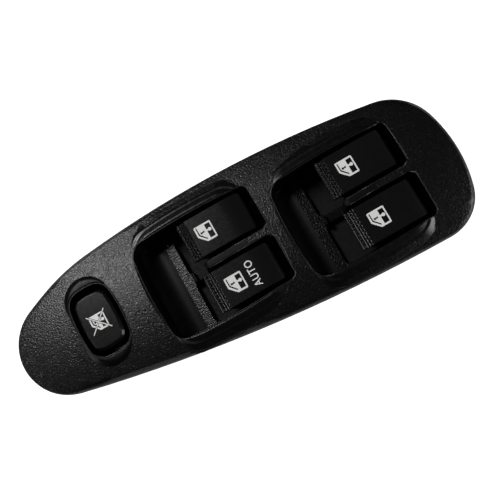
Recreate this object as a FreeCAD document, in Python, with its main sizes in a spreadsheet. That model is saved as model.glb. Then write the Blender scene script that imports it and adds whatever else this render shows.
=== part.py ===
import FreeCAD, Part
import math
import os
import Sketcher
from FreeCAD import Placement, Rotation, Vector

# A driver's power window switch panel. Millimetres, +X along the panel from its pointed end to its round end,
# +Y towards the door's far side, +Z up. The origin is at the middle of the outline, level with the flat bottom
# of the lower cover.

SIZES = (
    ("nose_corner_x", -138.5, "outline: where the two long sides would meet at the pointed end"),
    ("nose_corner_y", -4.62, ""),
    ("shoulder_corner_x", -69.2, "outline: where the nose side meets the upper long side"),
    ("shoulder_corner_y", 34.2, ""),
    ("tail_top_corner_x", 97.7, "outline: upper corner of the round end"),
    ("tail_top_corner_y", 27.74, ""),
    ("tail_low_corner_x", 97.1, "outline: lower corner of the round end"),
    ("tail_low_corner_y", -38.2, ""),
    ("nose_side_bend", 175.25, "radius of the outline from the nose to the shoulder"),
    ("top_side_bend", 514.0, "radius of the upper long side"),
    ("tail_side_bend", 64.7, "radius of the round end"),
    ("low_side_bend", 806.0, "radius of the lower long side"),
    ("nose_round", 22.83, "corner radius at the nose"),
    ("shoulder_round", 92.2, "corner radius at the shoulder"),
    ("tail_top_round", 24.3, "corner radius, upper corner of the round end"),
    ("tail_low_round", 20.2, "corner radius, lower corner of the round end"),
    ("crown_top", 46.0, "height of the bezel's crown line"),
    ("crown_middle_y", 1.4, "where the crown line crosses the origin's cross section"),
    ("crown_turn", -3.66, "turn of the crown line in plan, degrees"),
    ("cross_bend", 170.0, "radius of the crown across the panel"),
    ("long_bend", 6000.0, "radius of the crown along the panel"),
    ("end_bend", 500.0, "radius of the crown towards both ends"),
    ("nose_bend_start", -45.0, "where the crown starts to fall towards the nose"),
    ("tail_bend_start", 75.0, "where the crown starts to fall towards the round end"),
    ("bezel_wall", 2.2, "wall of the bezel"),
    ("edge_round", 4.0, "rounding of the bezel's upper edge"),
    ("edge_start", 39.4, "level where the rounding of the edge starts"),
    ("nose_ceiling", 38.2, "level of the ceiling inside the bezel, past the nose"),
    ("tail_ceiling", 41.6, "level of the ceiling inside the bezel, past the round end"),
    ("seat_level", 38.0, "underside of the bezel's rim, which lies on the door trim"),
    ("rim_level", 45.5, "top of the guard lips round the wells"),
    ("ledge_level", 44.6, "top of the guards' outer step"),
    ("guard_root", 42.0, "level inside the bezel where the guards start"),
    ("ledge_land", 0.5, "flat land between the two steps of a guard"),
    ("outer_slope_run", 1.6, "run of the guard's outer slope for each millimetre of rise"),
    ("inner_slope_run", 2.6, "run of the guard's inner slope for each millimetre of rise"),
    ("guard_half_length", 29.6, "guard outline about the middle of its well"),
    ("guard_half_width", 30.2, ""),
    ("guard_long_bend", 210.0, "radius of the guard's long sides"),
    ("guard_end_bend", 330.0, "radius of the guard's ends"),
    ("guard_round", 9.0, "corner radius of the guard"),
    ("well_half_length", 29.3, "well outline at its rim"),
    ("well_half_width", 24.45, ""),
    ("well_long_bend", 330.0, "radius of the well's long sides"),
    ("well_end_bend", 160.0, "radius of the well's ends"),
    ("well_front_round", 6.5, "corner radius of the well at the finger scoop"),
    ("well_rear_round", 3.6, "corner radius of the well behind the rockers"),
    ("bay_reach", 30.6, "from the middle of a well to the rear end of its two rocker bays"),
    ("bay_length", 18.0, "length of a rocker bay"),
    ("bay_half_width", 11.0, "half width of a rocker bay"),
    ("bay_round", 3.0, "corner radius of a rocker bay"),
    ("well_draft", 0.07, "inward run of the well's walls for each millimetre of depth"),
    ("rim_bevel", 0.45, "bevel of the well's rim"),
    ("tub_wall", 2.0, "wall of the wells"),
    ("tub_bottom", 28.2, "underside of the wells"),
    ("scoop_radius", 12.0, "radius of the finger scoop"),
    ("scoop_floor", 30.0, "lowest level of the finger scoop"),
    ("scoop_set_back", 7.8, "from the scoop's axis to the rocker openings' front edge"),
    ("front_well_x", -12.0, "middle of the front well"),
    ("front_well_y", 2.85, ""),
    ("rear_well_x", 53.75, "middle of the rear well"),
    ("rear_well_y", -3.7, ""),
    ("front_opening_start", -11.0, "front edge of the rocker openings, from the middle of the front well"),
    ("rear_opening_start", -13.4, "the same in the rear well"),
    ("opening_end", 26.9, "rear edge of the rocker openings"),
    ("opening_round", 2.4, "corner radius of the rocker openings"),
    ("opening_gap", 0.75, "gap beside a rocker in its opening"),
    ("divider_web", 4.1, "width of the floor left between the two openings"),
    ("bar_width", 2.9, "width of the bar between the rockers"),
    ("bar_start", -2.2, "front end of the bar, from the middle of the well"),
    ("bar_drop", 0.7, "from the rim down to the top of the bar"),
    ("bar_round", 1.5, "bevel at the top of the bar's front end"),
    ("bar_crest", 0.8, "how far above the crown the slope of the bar's top would end"),
    ("bar_root", 27.6, "from the middle of the well to where the bar spreads into the wall"),
    ("bar_spread", 3.6, "how far each side of the bar spreads behind its root"),
    ("rear_floor", 30.2, "level of the narrow floor beside and behind the rockers"),
    ("bar_rake", 1.4, "how far the foot of the bar's front end lies forward"),
    ("pilot_radius", 1.3, "radius of the screw holes in the bosses"),
    ("boss_half", 3.4, "half width of the bezel's square screw bosses"),
    ("front_boss_x", -47.9, "screw bosses between the lock opening and the front well"),
    ("front_boss_low_y", -16.4, ""),
    ("front_boss_high_y", 23.2, ""),
    ("rear_boss_x", 91.5, "screw bosses behind the rear well"),
    ("rear_boss_low_y", -19.8, ""),
    ("rear_boss_high_y", 11.2, ""),
    ("lock_x", -65.6, "middle of the lock button"),
    ("lock_y", 5.5, ""),
    ("lock_half_length", 10.6, "lock opening at its rim, along X"),
    ("lock_half_width", 16.0, "lock opening at its rim, along Y"),
    ("lock_side_bend", 80.0, "radius of the lock opening's sides"),
    ("lock_end_bend", 26.0, "radius of the lock opening's ends"),
    ("lock_round", 7.2, "corner radius of the lock opening"),
    ("lock_draft", 0.14, "inward run of the lock opening's walls for each millimetre of depth"),
    ("lock_throat_level", 38.0, "level where the lock opening's walls turn straight"),
    ("lock_guard_half_length", 11.5, "lock guard outline"),
    ("lock_guard_half_width", 20.0, ""),
    ("lock_guard_side_bend", 120.0, "radius of the lock guard's sides"),
    ("lock_guard_end_bend", 13.5, "radius of the lock guard's ends"),
    ("lock_guard_round", 9.5, "corner radius of the lock guard"),
    ("pivot_level", 34.0, "height of the rockers' pivots"),
    ("pivot_set_back", 13.7, "from the middle of a well to the rockers' pivots"),
    ("rocker_pitch", 25.3, "from one rocker of a well to the other"),
    ("rocker_width", 17.6, "width of a rocker"),
    ("rocker_wall", 1.6, "wall of a rocker"),
    ("rocker_rise", 12.5, "from the pivot up to a rocker's face"),
    ("nose_reach", 19.0, "from the pivot to the rocker's nose"),
    ("nose_rise", 10.1, "from the pivot up to the upper edge of the nose"),
    ("nose_depth", 2.4, "thickness of the nose"),
    ("grip_length", 4.65, "length of the ribbed grip"),
    ("grip_step", 0.35, "step from the grip up to the face"),
    ("throat_reach", 14.6, "from the pivot to the wall under the nose"),
    ("throat_rise", 6.2, "from the pivot up to the hollow under the nose"),
    ("skirt_drop", 3.5, "from the pivot down to the rocker's lower edge"),
    ("skirt_front", 13.2, "from the pivot to the rocker's front wall at its lower edge"),
    ("rear_reach", 12.6, "from the pivot to the rocker's rear wall"),
    ("roll_start", 1.5, "where the face starts to roll off, behind the pivot"),
    ("roll_drop", 1.7, "how far the face falls to the rear wall"),
    ("rear_round", 2.4, "rounding of the rocker's rear edge"),
    ("rear_corner_round", 1.8, "rounding of the rocker's rear corners"),
    ("nose_round_top", 1.1, "rounding of the nose"),
    ("ceiling_extra", 0.5, "how much thicker a rocker's top is than its walls"),
    ("rail_thickness", 1.2, "thickness of the slider rails"),
    ("rail_half_length", 11.5, "half length of the slider rails"),
    ("catch_width", 6.0, "width of the housing's snap catches"),
    ("catch_height", 2.0, "height of a snap catch"),
    ("catch_rise", 2.6, "from the joint up to the middle of a snap catch"),
    ("catch_reach", 1.2, "how far a snap catch stands out"),
    ("catch_play", 0.2, "play of a catch in its loop"),
    ("loop_thickness", 1.4, "thickness of the cover's snap loops"),
    ("loop_side", 1.6, "width of a loop's sides"),
    ("loop_root", 4.0, "how far below the joint a loop is rooted"),
    ("grip_groove_depth", 0.35, "depth of the grip's grooves"),
    ("grip_groove_half", 0.4, "half width of the grip's grooves"),
    ("pin_radius", 1.7, "radius of the pivot pins"),
    ("pin_play", 0.15, "play of a rocker on its pins"),
    ("tower_width", 12.4, "width of a tower"),
    ("tower_half_length", 7.5, "half length of a tower"),
    ("tower_top", 39.5, "top of the towers"),
    ("tower_wall", 1.8, "wall of a tower"),
    ("pin_overlap", 1.5, "how far a pivot pin reaches into a rocker's wall"),
    ("leg_width", 4.0, "width of a rocker's leg"),
    ("leg_root", 2.3, "half thickness of the leg at its root"),
    ("leg_tip_radius", 1.5, "radius of the leg's round tip"),
    ("leg_neck", 0.95, "half thickness of the leg just above its tip"),
    ("leg_reach", 17.5, "from the pivot down to the middle of the leg's tip"),
    ("slot_play", 0.2, "play of the leg's tip in its slider"),
    ("spring_thickness", 0.35, "thickness of the leaf springs"),
    ("spring_width", 9.6, "width of the leaf springs"),
    ("spring_flat", 7.0, "half length of a leaf spring's flat seat"),
    ("spring_reach", 9.9, "from the middle of a leaf spring to its tips"),
    ("spring_window", 4.3, "half length of the window for the leg"),
    ("spring_rib", 0.6, "height of the ribs that the leaf spring's tips press on"),
    ("slider_half_length", 7.6, "half length of a slider"),
    ("slider_width", 12.0, "width of a slider"),
    ("slider_height", 5.6, "height of a slider"),
    ("slider_lift", 0.75, "from the board up to a slider"),
    ("slider_play", 0.2, "play beside and above a slider"),
    ("bridge_thickness", 0.25, "thickness of the contact bridges"),
    ("bridge_width", 2.0, "width of a contact bridge"),
    ("bridge_offset", 3.7, "from the middle of a slider to each bridge"),
    ("bridge_half_length", 6.4, "half length of a contact bridge"),
    ("contact_height", 0.15, "thickness of the fixed contacts"),
    ("contact_play", 0.05, "gap between bridges and fixed contacts"),
    ("cover_wall", 1.8, "wall of the lower cover"),
    ("cover_floor", 1.8, "floor of the lower cover"),
    ("joint_level", 12.4, "where the lower cover meets the housing"),
    ("board_level", 11.0, "underside of the circuit board"),
    ("board_thickness", 1.6, "thickness of the circuit board"),
    ("board_play", 0.4, "play of the board inside the walls"),
    ("deck_level", 26.8, "top of the housing's deck"),
    ("deck_thickness", 1.8, "thickness of the housing's deck"),
    ("housing_wall", 1.8, "wall of the housing"),
    ("module_nose_x", -80.0, "module outline"),
    ("module_nose_low_y", -8.3, ""),
    ("module_nose_high_y", 17.2, ""),
    ("module_step_x", -42.0, "where the module widens behind the lock button"),
    ("module_neck_low_y", -10.3, "narrow side of the step"),
    ("module_neck_high_y", 18.2, ""),
    ("module_step_low_y", -23.3, "wide side of the step"),
    ("module_step_high_y", 28.2, ""),
    ("module_tail_x", 85.0, ""),
    ("module_tail_low_y", -28.3, ""),
    ("module_tail_high_y", 19.7, ""),
    ("module_round", 4.0, "corner radius of the module"),
    ("shelf_length", 22.0, "shelf of the deck that closes the lock opening's far end from below"),
    ("shelf_reach", 4.8, "how far the shelf stands out of the module's side"),
    ("button_half_length", 8.3, "lock button's face"),
    ("button_half_width", 12.7, ""),
    ("button_side_bend", 70.0, "radius of the lock button's sides"),
    ("button_end_bend", 30.0, "radius of the lock button's ends"),
    ("button_round", 4.6, "corner radius of the lock button's face"),
    ("button_top", 46.0, "top of the lock button"),
    ("button_flank_drop", 5.6, "depth of the lock button's sloping flanks"),
    ("button_flank_run", 0.8, "how far the flanks spread"),
    ("button_skirt", 7.5, "depth of the straight skirt below the flanks"),
    ("button_edge_round", 1.0, "rounding of the lock button's edge"),
    ("button_wall", 1.5, "wall of the lock button"),
    ("button_travel", 3.0, "travel of the lock button"),
    ("case_length", 11.0, "lock switch case along X"),
    ("case_width", 13.0, "lock switch case along Y"),
    ("case_wall", 1.5, "wall of the lock switch case"),
    ("case_roof", 1.2, "roof of the lock switch case"),
    ("case_floor", 1.0, "floor of the lock switch case"),
    ("case_gap", 0.4, "gap between the case and the housing's deck"),
    ("plunger_play", 0.3, "play round the lock plunger"),
    ("plunger_block", 6.4, "height of the plunger's guided block"),
    ("stem_length", 4.8, "plunger's stem along X"),
    ("stem_width", 6.8, "plunger's stem along Y"),
    ("stem_grip", 6.0, "length of the stem inside the button's socket"),
    ("wire_radius", 0.35, "radius of the latch wire and the lock spring's wire"),
    ("lock_coil_radius", 1.7, "mean radius of the lock spring"),
    ("lock_coil_turns", 5.0, "turns of the lock spring"),
    ("latch_length", 5.6, "length of the latch wire"),
    ("latch_lean", 0.56, "how far the latch wire's tip moves over the travel"),
    ("latch_leg", 1.0, "length of the latch wire's two ends"),
    ("latch_play", 0.25, "play of the latch wire in its groove"),
    ("inlet_x", 35.0, "middle of the connector inlet"),
    ("inlet_length", 36.0, "connector inlet along X"),
    ("inlet_reach", 10.8, "how far the connector inlet stands out"),
    ("inlet_depth", 8.0, "depth of the connector inlet's mouth"),
    ("inlet_wall", 1.4, "wall of the connector inlet"),
    ("inlet_bottom", 0.6, "underside of the connector inlet"),
    ("inlet_top", 12.2, "top of the connector inlet"),
    ("inlet_sill", 2.4, "bottom of the gap in the cover's wall"),
    ("inlet_stand_off", 1.6, "from the wall to the back of the inlet's shroud"),
    ("tongue_reach", 1.3, "how far the inlet's tongue reaches into the wall"),
    ("tongue_play", 0.1, "play of the tongue in the wall's gap"),
    ("terminal_side", 0.8, "side of a terminal"),
    ("terminal_play", 0.1, "play of a terminal in the board's holes"),
    ("terminal_pitch", 4.0, "spacing of the terminals"),
    ("terminal_low", 4.4, "height of the lower row"),
    ("terminal_high", 8.0, "height of the upper row"),
    ("terminal_low_bend_y", 15.5, "where the lower row turns up"),
    ("terminal_high_bend_y", 18.5, "where the upper row turns up"),
    ("terminal_reach", 3.6, "how far the terminals stand into the inlet's mouth"),
    ("terminal_stand", 0.8, "how far the terminals stand out of the board"),
    ("contact_gap_start", 3.2, "half length of a middle contact"),
    ("contact_gap", 1.2, "gap between fixed contacts"),
    ("contact_length", 3.4, "length of an outer contact"),
    ("screw_radius", 1.2, "radius of the bezel screws' shanks"),
    ("screw_play", 0.4, "play of a screw in the housing's ear"),
    ("head_radius", 2.9, "corner radius of the hexagonal screw heads"),
    ("head_height", 1.9, "height of the screw heads"),
    ("rest_length", 3.0, "the cover's rests under the board, along X"),
    ("rest_width", 8.0, "the cover's rests under the board, along Y"),
    ("screw_length", 8.0, "depth of the bosses' screw holes"),
    ("clip_width", 9.0, "width of a spring clip"),
    ("clip_metal", 0.6, "thickness of the spring clips' metal"),
    ("clip_drop", 11.0, "how far a clip's rib reaches below the bezel's rim"),
    ("clip_bulge", 2.0, "how far a clip's arms spread"),
    ("clip_bulge_rise", 4.5, "height of the arms' widest place"),
    ("clip_leaf", 6.0, "height of the leaves that hold the rib"),
    ("clip_arm", 8.0, "height of the arms"),
    ("clip_rib", 1.8, "thickness of the ribs that carry the clips"),
    ("clip_rib_width", 7.0, "width of the ribs that carry the clips"),
    ("nose_clip_x", -93.0, "place of the clips"),
    ("nose_clip_y", 1.2, ""),
    ("tail_clip_x", 98.6, ""),
    ("tail_clip_y", -4.4, ""),
    ("relay_length", 15.0, "motor relay"),
    ("relay_width", 12.0, ""),
    ("relay_height", 10.5, ""),
    ("relay_base", 1.2, "height of the relay's base"),
    ("relay_x", 28.0, "place of the relay"),
    ("relay_y", -10.8, ""),
    ("chip_side", 9.0, "side of the control chip"),
    ("chip_height", 1.4, "height of the control chip"),
    ("chip_lead", 1.0, "how far the chip's leads stand out"),
    ("chip_lead_height", 0.4, "height of the chip's frame of leads"),
    ("chip_y", 4.2, "place of the control chip, level with the relay"),
    ("lamp_side", 2.0, "side of an indicator lamp"),
    ("lamp_height", 1.1, "height of an indicator lamp"),
    ("lamp_set_back", 13.5, "from a rocker's pivot back to its lamp"),
)

doc = FreeCAD.newDocument("window_switch")
sheet = doc.addObject("Spreadsheet::Sheet", "Sizes")


class Size(float):
    """A number that remembers the sheet expression it comes from."""

    def __new__(cls, value, text=None):
        made = super().__new__(cls, value)
        made.text = repr(float(value)) if text is None else text
        return made

    def __add__(self, other):
        return Size(float(self) + other, f"({self.text} + {text_of(other)})")

    def __radd__(self, other):
        return Size(other + float(self), f"({text_of(other)} + {self.text})")

    def __sub__(self, other):
        return Size(float(self) - other, f"({self.text} - {text_of(other)})")

    def __rsub__(self, other):
        return Size(other - float(self), f"({text_of(other)} - {self.text})")

    def __mul__(self, other):
        return Size(float(self) * other, f"({self.text} * {text_of(other)})")

    def __rmul__(self, other):
        return Size(other * float(self), f"({text_of(other)} * {self.text})")

    def __truediv__(self, other):
        return Size(float(self) / other, f"({self.text} / {text_of(other)})")

    def __neg__(self):
        return Size(-float(self), f"(-1 * {self.text})")


def text_of(value):
    return value.text if isinstance(value, Size) else repr(float(value))


def root(value):
    """Square root of a size."""
    return Size(math.sqrt(value), f"sqrt({text_of(value)})")


class Sizes:
    """The driving sizes by name, each tied to its cell of the sheet."""


size = Sizes()
for row, (name, number, meaning) in enumerate(SIZES, start=1):
    sheet.set(f"A{row}", name)
    sheet.set(f"B{row}", repr(number))
    sheet.set(f"C{row}", meaning)
    sheet.setAlias(f"B{row}", name)
    setattr(size, name, Size(number, f"Sizes.{name}"))
doc.recompute()


# Helpers for features and sketches

def tie(thing, prop, value):
    """Give a property its value, bound to the sheet where the value comes from there."""
    if isinstance(value, Size):
        thing.setExpression(prop, value.text)
    else:
        setattr(thing, prop, value)


def body(label, x=0.0, y=0.0, z=0.0):
    made = doc.addObject("PartDesign::Body", label)
    made.Label = label
    for axis, value in (("x", x), ("y", y), ("z", z)):
        made.setExpression(f"Placement.Base.{axis}", text_of(value))
    return made


def sketch(owner, role="XY_Plane", lift=0.0):
    """An empty sketch on one of the body's own planes, moved along the plane's normal."""
    made = owner.newObject("Sketcher::SketchObject", f"{owner.Label}_sketch")
    plane = next(f for f in owner.Origin.OriginFeatures if f.Role == role)
    made.AttachmentSupport = [(plane, "")]
    made.MapMode = "FlatFace"
    made.setExpression("AttachmentOffset.Base.z", text_of(lift))
    return made


def constrain(target, kind, *places, value=None):
    """Add a constraint and bind its value to the sheet."""
    if value is None:
        target.addConstraint(Sketcher.Constraint(kind, *places))
        return
    number = target.addConstraint(Sketcher.Constraint(kind, *places, float(value)))
    if isinstance(value, Size):
        target.setExpression(f"Constraints[{number}]", value.text)


def place_point(target, geometry, which, x, y):
    """Fix a point of a sketch at a distance from the sketch's origin."""
    constrain(target, "DistanceX", -1, 1, geometry, which, value=x)
    constrain(target, "DistanceY", -1, 1, geometry, which, value=y)


def circle(target, x, y, radius):
    made = target.addGeometry(Part.Circle(Vector(x, y, 0), Vector(0, 0, 1), float(radius)), False)
    constrain(target, "Radius", made, value=radius)
    place_point(target, made, 3, x, y)


def polygon(target, points, bends=None):
    """A closed outline through the points. bends gives, for some sides, the radius of an arc that
    bulges to the right of the way round."""
    bends = bends or {}
    count = len(points)
    base = target.GeometryCount
    for n, (x, y) in enumerate(points):
        start = Vector(x, y, 0)
        end = Vector(*points[(n + 1) % count], 0)
        if n in bends:
            chord = end - start
            radius = float(bends[n])
            reach = math.sqrt(radius**2 - (chord.Length / 2) ** 2)
            left = Vector(-chord.y, chord.x, 0).normalize()
            centre = (start + end) / 2 + left * reach
            first = math.atan2(start.y - centre.y, start.x - centre.x)
            last = math.atan2(end.y - centre.y, end.x - centre.x)
            if last < first:
                last += 2 * math.pi
            arc = Part.ArcOfCircle(Part.Circle(centre, Vector(0, 0, 1), radius), first, last)
            target.addGeometry(arc, False)
            constrain(target, "Radius", base + n, value=bends[n])
        else:
            target.addGeometry(Part.LineSegment(start, end), False)
    for n in range(count):
        constrain(target, "Coincident", base + n, 2, base + (n + 1) % count, 1)
    for n, (x, y) in enumerate(points):
        place_point(target, base + n, 1, x, y)


def rectangle(target, x, y, length, width):
    """A rectangle about its middle."""
    polygon(target, [
        (x - length / 2, y - width / 2),
        (x + length / 2, y - width / 2),
        (x + length / 2, y + width / 2),
        (x - length / 2, y + width / 2),
    ])


def rounded_outline(target, sides, corners, inset=0.0):
    """A convex outline of large arcs joined by corner arcs, all tangent. sides holds each large arc's centre
    and radius, counterclockwise, and corners the radius after each. inset draws it that much smaller."""
    count = len(sides)
    centres = []
    for n in range(count):
        (ax, ay, ar), (bx, by, br) = sides[n], sides[(n + 1) % count]
        first = float(ar) - float(corners[n])
        second = float(br) - float(corners[n])
        a = Vector(ax, ay, 0)
        line = Vector(bx, by, 0) - a
        along = (first**2 - second**2 + line.Length**2) / (2 * line.Length)
        across = math.sqrt(first**2 - along**2)
        line.normalize()
        foot = a + line * along
        side = Vector(-line.y, line.x, 0) * across
        ahead, behind = foot + side, foot - side
        turn = (ahead - a).cross(ahead - Vector(bx, by, 0)).z
        centres.append(ahead if turn > 0 else behind)
    for n in range(count):
        x, y, radius = sides[n]
        middle = Vector(x, y, 0)
        before = centres[n - 1] - middle
        after = centres[n] - middle
        add_arc(target, middle, radius - inset, before, after)
        constrain(target, "Radius", 2 * n, value=radius - inset)
        place_point(target, 2 * n, 3, x, y)
        following = Vector(*sides[(n + 1) % count][:2], 0)
        add_arc(target, centres[n], corners[n] - inset, after, centres[n] - following)
        constrain(target, "Radius", 2 * n + 1, value=corners[n] - inset)
    for n in range(2 * count):
        constrain(target, "Tangent", n, 2, (n + 1) % (2 * count), 1)


def add_arc(target, middle, radius, start, end):
    """An arc that runs counterclockwise from one direction to another."""
    first = math.atan2(start.y, start.x)
    last = math.atan2(end.y, end.x)
    if last < first:
        last += 2 * math.pi
    target.addGeometry(Part.ArcOfCircle(Part.Circle(middle, Vector(0, 0, 1), float(radius)), first, last), False)


def box_sides(x, y, half_length, half_width, end_bend, long_bend):
    """The four arcs of a cushion-shaped outline about a middle point, from the +X end round."""
    return [
        (x + half_length - end_bend, y, end_bend),
        (x, y + half_width - long_bend, long_bend),
        (x - half_length + end_bend, y, end_bend),
        (x, y - half_width + long_bend, long_bend),
    ]


def pad(owner, profile, length, both_ways=False, down=False):
    made = owner.newObject("PartDesign::Pad", f"{owner.Label}_pad")
    made.Profile = profile
    tie(made, "Length", length)
    if both_ways:
        made.SideType = "Symmetric"
    made.Reversed = down
    return made


def pocket(owner, profile, length, both_ways=False, up=False):
    made = owner.newObject("PartDesign::Pocket", f"{owner.Label}_pocket")
    made.Profile = profile
    tie(made, "Length", length)
    if both_ways:
        made.SideType = "Symmetric"
    made.Reversed = up
    return made


def loft(owner, profiles, cut=False):
    kind = "SubtractiveLoft" if cut else "AdditiveLoft"
    made = owner.newObject(f"PartDesign::{kind}", f"{owner.Label}_loft")
    made.Profile = profiles[0]
    made.Sections = profiles[1:]
    made.Ruled = True
    return made


def round_edges(owner, radius, wanted):
    """Fillet the edges of the body's last feature for which wanted(edge) holds."""
    doc.recompute()
    base = owner.Tip
    names = [f"Edge{n}" for n, edge in enumerate(base.Shape.Edges, start=1) if wanted(edge)]
    made = owner.newObject("PartDesign::Fillet", f"{owner.Label}_fillet")
    made.Base = (base, names)
    tie(made, "Radius", radius)
    return made


# Bezel

def chord_arc(start, end, bend):
    """Centre and radius of the arc from one corner to the next, bulging outwards."""
    (ax, ay), (bx, by) = start, end
    dx, dy = bx - ax, by - ay
    lean = root(bend * bend / (dx * dx + dy * dy) - 0.25)
    return (ax + bx) / 2 - dy * lean, (ay + by) / 2 + dx * lean, bend


NOSE = (size.nose_corner_x, size.nose_corner_y)
SHOULDER = (size.shoulder_corner_x, size.shoulder_corner_y)
TAIL_TOP = (size.tail_top_corner_x, size.tail_top_corner_y)
TAIL_LOW = (size.tail_low_corner_x, size.tail_low_corner_y)
PANEL_SIDES = [
    chord_arc(TAIL_LOW, TAIL_TOP, size.tail_side_bend),
    chord_arc(TAIL_TOP, SHOULDER, size.top_side_bend),
    chord_arc(SHOULDER, NOSE, size.nose_side_bend),
    chord_arc(NOSE, TAIL_LOW, size.low_side_bend),
]
PANEL_CORNERS = [size.tail_top_round, size.shoulder_round, size.nose_round, size.tail_low_round]
BOSSES = [
    (size.front_boss_x, size.front_boss_low_y),
    (size.front_boss_x, size.front_boss_high_y),
    (size.rear_boss_x, size.rear_boss_low_y),
    (size.rear_boss_x, size.rear_boss_high_y),
]
WELLS = {
    "front": (size.front_well_x, size.front_well_y, size.front_opening_start),
    "rear": (size.rear_well_x, size.rear_well_y, size.rear_opening_start),
}
CLIPS = [
    ("nose", size.nose_clip_x, size.nose_clip_y),
    ("tail", size.tail_clip_x, size.tail_clip_y),
]
BEYOND = 4.0
CUTTER_HALF_WIDTH = 50.0
END_SWEEP = 12.0
EDGE_STEPS = (0.0, 30.0, 60.0)
SCOOP_LIFT = 2.0
PANEL_REACH = 120.0
LEG_TIP_LEAN = 15.0
TERMINALS = 7
GRIP_GROOVES = 3
WIRE_SIDES = 8
SHANK_SIDES = 12
HEAD_SIDES = 6
BAY_CORNER_SIDES = 4
REAR_BEND = 1.3


def crown_station(start):
    """A point of the crown line where its bend changes, with the lean of the crown there, in degrees."""
    lean = math.asin(start / size.long_bend)
    drop = size.long_bend * (1 - math.cos(lean))
    return float(start), float(size.crown_top - drop), math.degrees(lean)


def cut_to_crown(owner):
    """Groove away all above the crown, whose cross section is carried along three arcs of the crown line."""
    nose = crown_station(size.nose_bend_start)
    tail = crown_station(size.tail_bend_start)
    crown_piece(owner, (0.0, float(size.crown_top), 0.0), size.long_bend, tail[2], nose[2])
    crown_piece(owner, nose, size.end_bend, 0.0, -END_SWEEP)
    crown_piece(owner, tail, size.end_bend, END_SWEEP, 0.0)


def crown_piece(owner, station, bend, ahead, behind):
    """One stretch of the crown: the region above the cross section's arc, turned about an axis across the
    panel, from so many degrees behind the station to so many ahead."""
    along, level, lean = station
    half = CUTTER_HALF_WIDTH
    cross = size.cross_bend
    drop = cross - math.sqrt(cross**2 - half**2)
    profile = owner.newObject("Sketcher::SketchObject", f"{owner.Label}_crown")
    plane = next(f for f in owner.Origin.OriginFeatures if f.Role == "YZ_Plane")
    profile.AttachmentSupport = [(plane, "")]
    profile.MapMode = "FlatFace"
    turn = Rotation(Vector(0, 0, 1), float(size.crown_turn))
    lean_turn = Rotation(Vector(0, 1, 0), lean + (ahead + behind) / 2)
    local = Rotation(Vector(1, 1, 1), 120)
    radius = float(bend)
    arm = Rotation(Vector(0, 1, 0), lean).multVec(Vector(0, 0, radius))
    axis_point = Vector(along, 0, level) - arm
    axis_point = turn.multVec(axis_point) + Vector(0, float(size.crown_middle_y), 0)
    world = Placement(axis_point, turn.multiply(lean_turn))
    base = Placement(Vector(0, 0, 0), local)
    profile.AttachmentOffset = base.inverse().multiply(world).multiply(base)
    points = [(-half, radius - drop), (half, radius - drop), (half, radius + half), (-half, radius + half)]
    left, right = Vector(*points[0], 0), Vector(*points[1], 0)
    centre = Vector(0, radius - float(cross), 0)
    add_arc(profile, centre, cross, right - centre, left - centre)
    profile.addGeometry(Part.LineSegment(left, Vector(*points[3], 0)), False)
    profile.addGeometry(Part.LineSegment(Vector(*points[3], 0), Vector(*points[2], 0)), False)
    profile.addGeometry(Part.LineSegment(Vector(*points[2], 0), right), False)
    for n in range(4):
        constrain(profile, "Coincident", n, 2, (n + 1) % 4, 1)
    for n in range(4):
        constrain(profile, "Block", n)
    groove = owner.newObject("PartDesign::Groove", f"{owner.Label}_groove")
    groove.Profile = profile
    groove.ReferenceAxis = (profile, ["H_Axis"])
    groove.Midplane = True
    groove.Angle = ahead - behind


def cut_to_ceiling(owner):
    """Cut the inside away above a plain arched ceiling that slopes down towards both ends."""
    arch = sketch(owner, "YZ_Plane")
    turn = Rotation(Vector(0, 1, 0), float(size.crown_turn))
    arch.AttachmentOffset = Placement(Vector(0, 0, 0), turn)
    half = CUTTER_HALF_WIDTH
    radius = size.cross_bend - size.bezel_wall
    middle_y, top = size.crown_middle_y, size.crown_top - size.bezel_wall
    drop = radius - math.sqrt(radius**2 - half**2)
    polygon(arch, [
        (middle_y - half, top - drop),
        (middle_y - half, top + half),
        (middle_y + half, top + half),
        (middle_y + half, top - drop),
    ])
    flatten = arch.Geometry[3]
    arch.delGeometry(3)
    centre = Vector(middle_y, top - radius, 0)
    start = flatten.StartPoint - centre
    end = flatten.EndPoint - centre
    add_arc(arch, centre, radius, start, end)
    constrain(arch, "Coincident", 2, 2, 3, 1)
    constrain(arch, "Coincident", 3, 2, 0, 1)
    constrain(arch, "Radius", 3, value=radius)
    pocket(owner, arch, 2 * PANEL_REACH, both_ways=True)
    for sign, start_x, end_z in (
        (-1, size.nose_bend_start, size.nose_ceiling),
        (1, size.tail_bend_start, size.tail_ceiling),
    ):
        slope = sketch(owner, "XZ_Plane")
        reach = sign * PANEL_REACH
        polygon(slope, [
            (start_x, top),
            (reach, end_z),
            (reach, top + BEYOND),
            (start_x, top + BEYOND),
        ])
        pocket(owner, slope, 2 * PANEL_REACH, both_ways=True)


def guard(owner, sides, corners, top, run, root_level):
    """A raised lip with sloping flanks, from inside the shell up to its flat top."""
    foot = sketch(owner, lift=root_level)
    rounded_outline(foot, sides, corners, inset=(root_level - top) * run)
    head = sketch(owner, lift=top)
    rounded_outline(head, sides, corners)
    loft(owner, [foot, head])


def well_sides(x, y):
    return box_sides(x, y, size.well_half_length, size.well_half_width, size.well_end_bend, size.well_long_bend)


WELL_CORNERS = [size.well_rear_round, size.well_front_round, size.well_front_round, size.well_rear_round]


def guard_sides(x, y, shrink):
    return box_sides(x, y, size.guard_half_length - shrink, size.guard_half_width - shrink,
                     size.guard_end_bend, size.guard_long_bend)


def lock_sides():
    return box_sides(size.lock_x, size.lock_y, size.lock_half_length, size.lock_half_width,
                     size.lock_side_bend, size.lock_end_bend)


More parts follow.
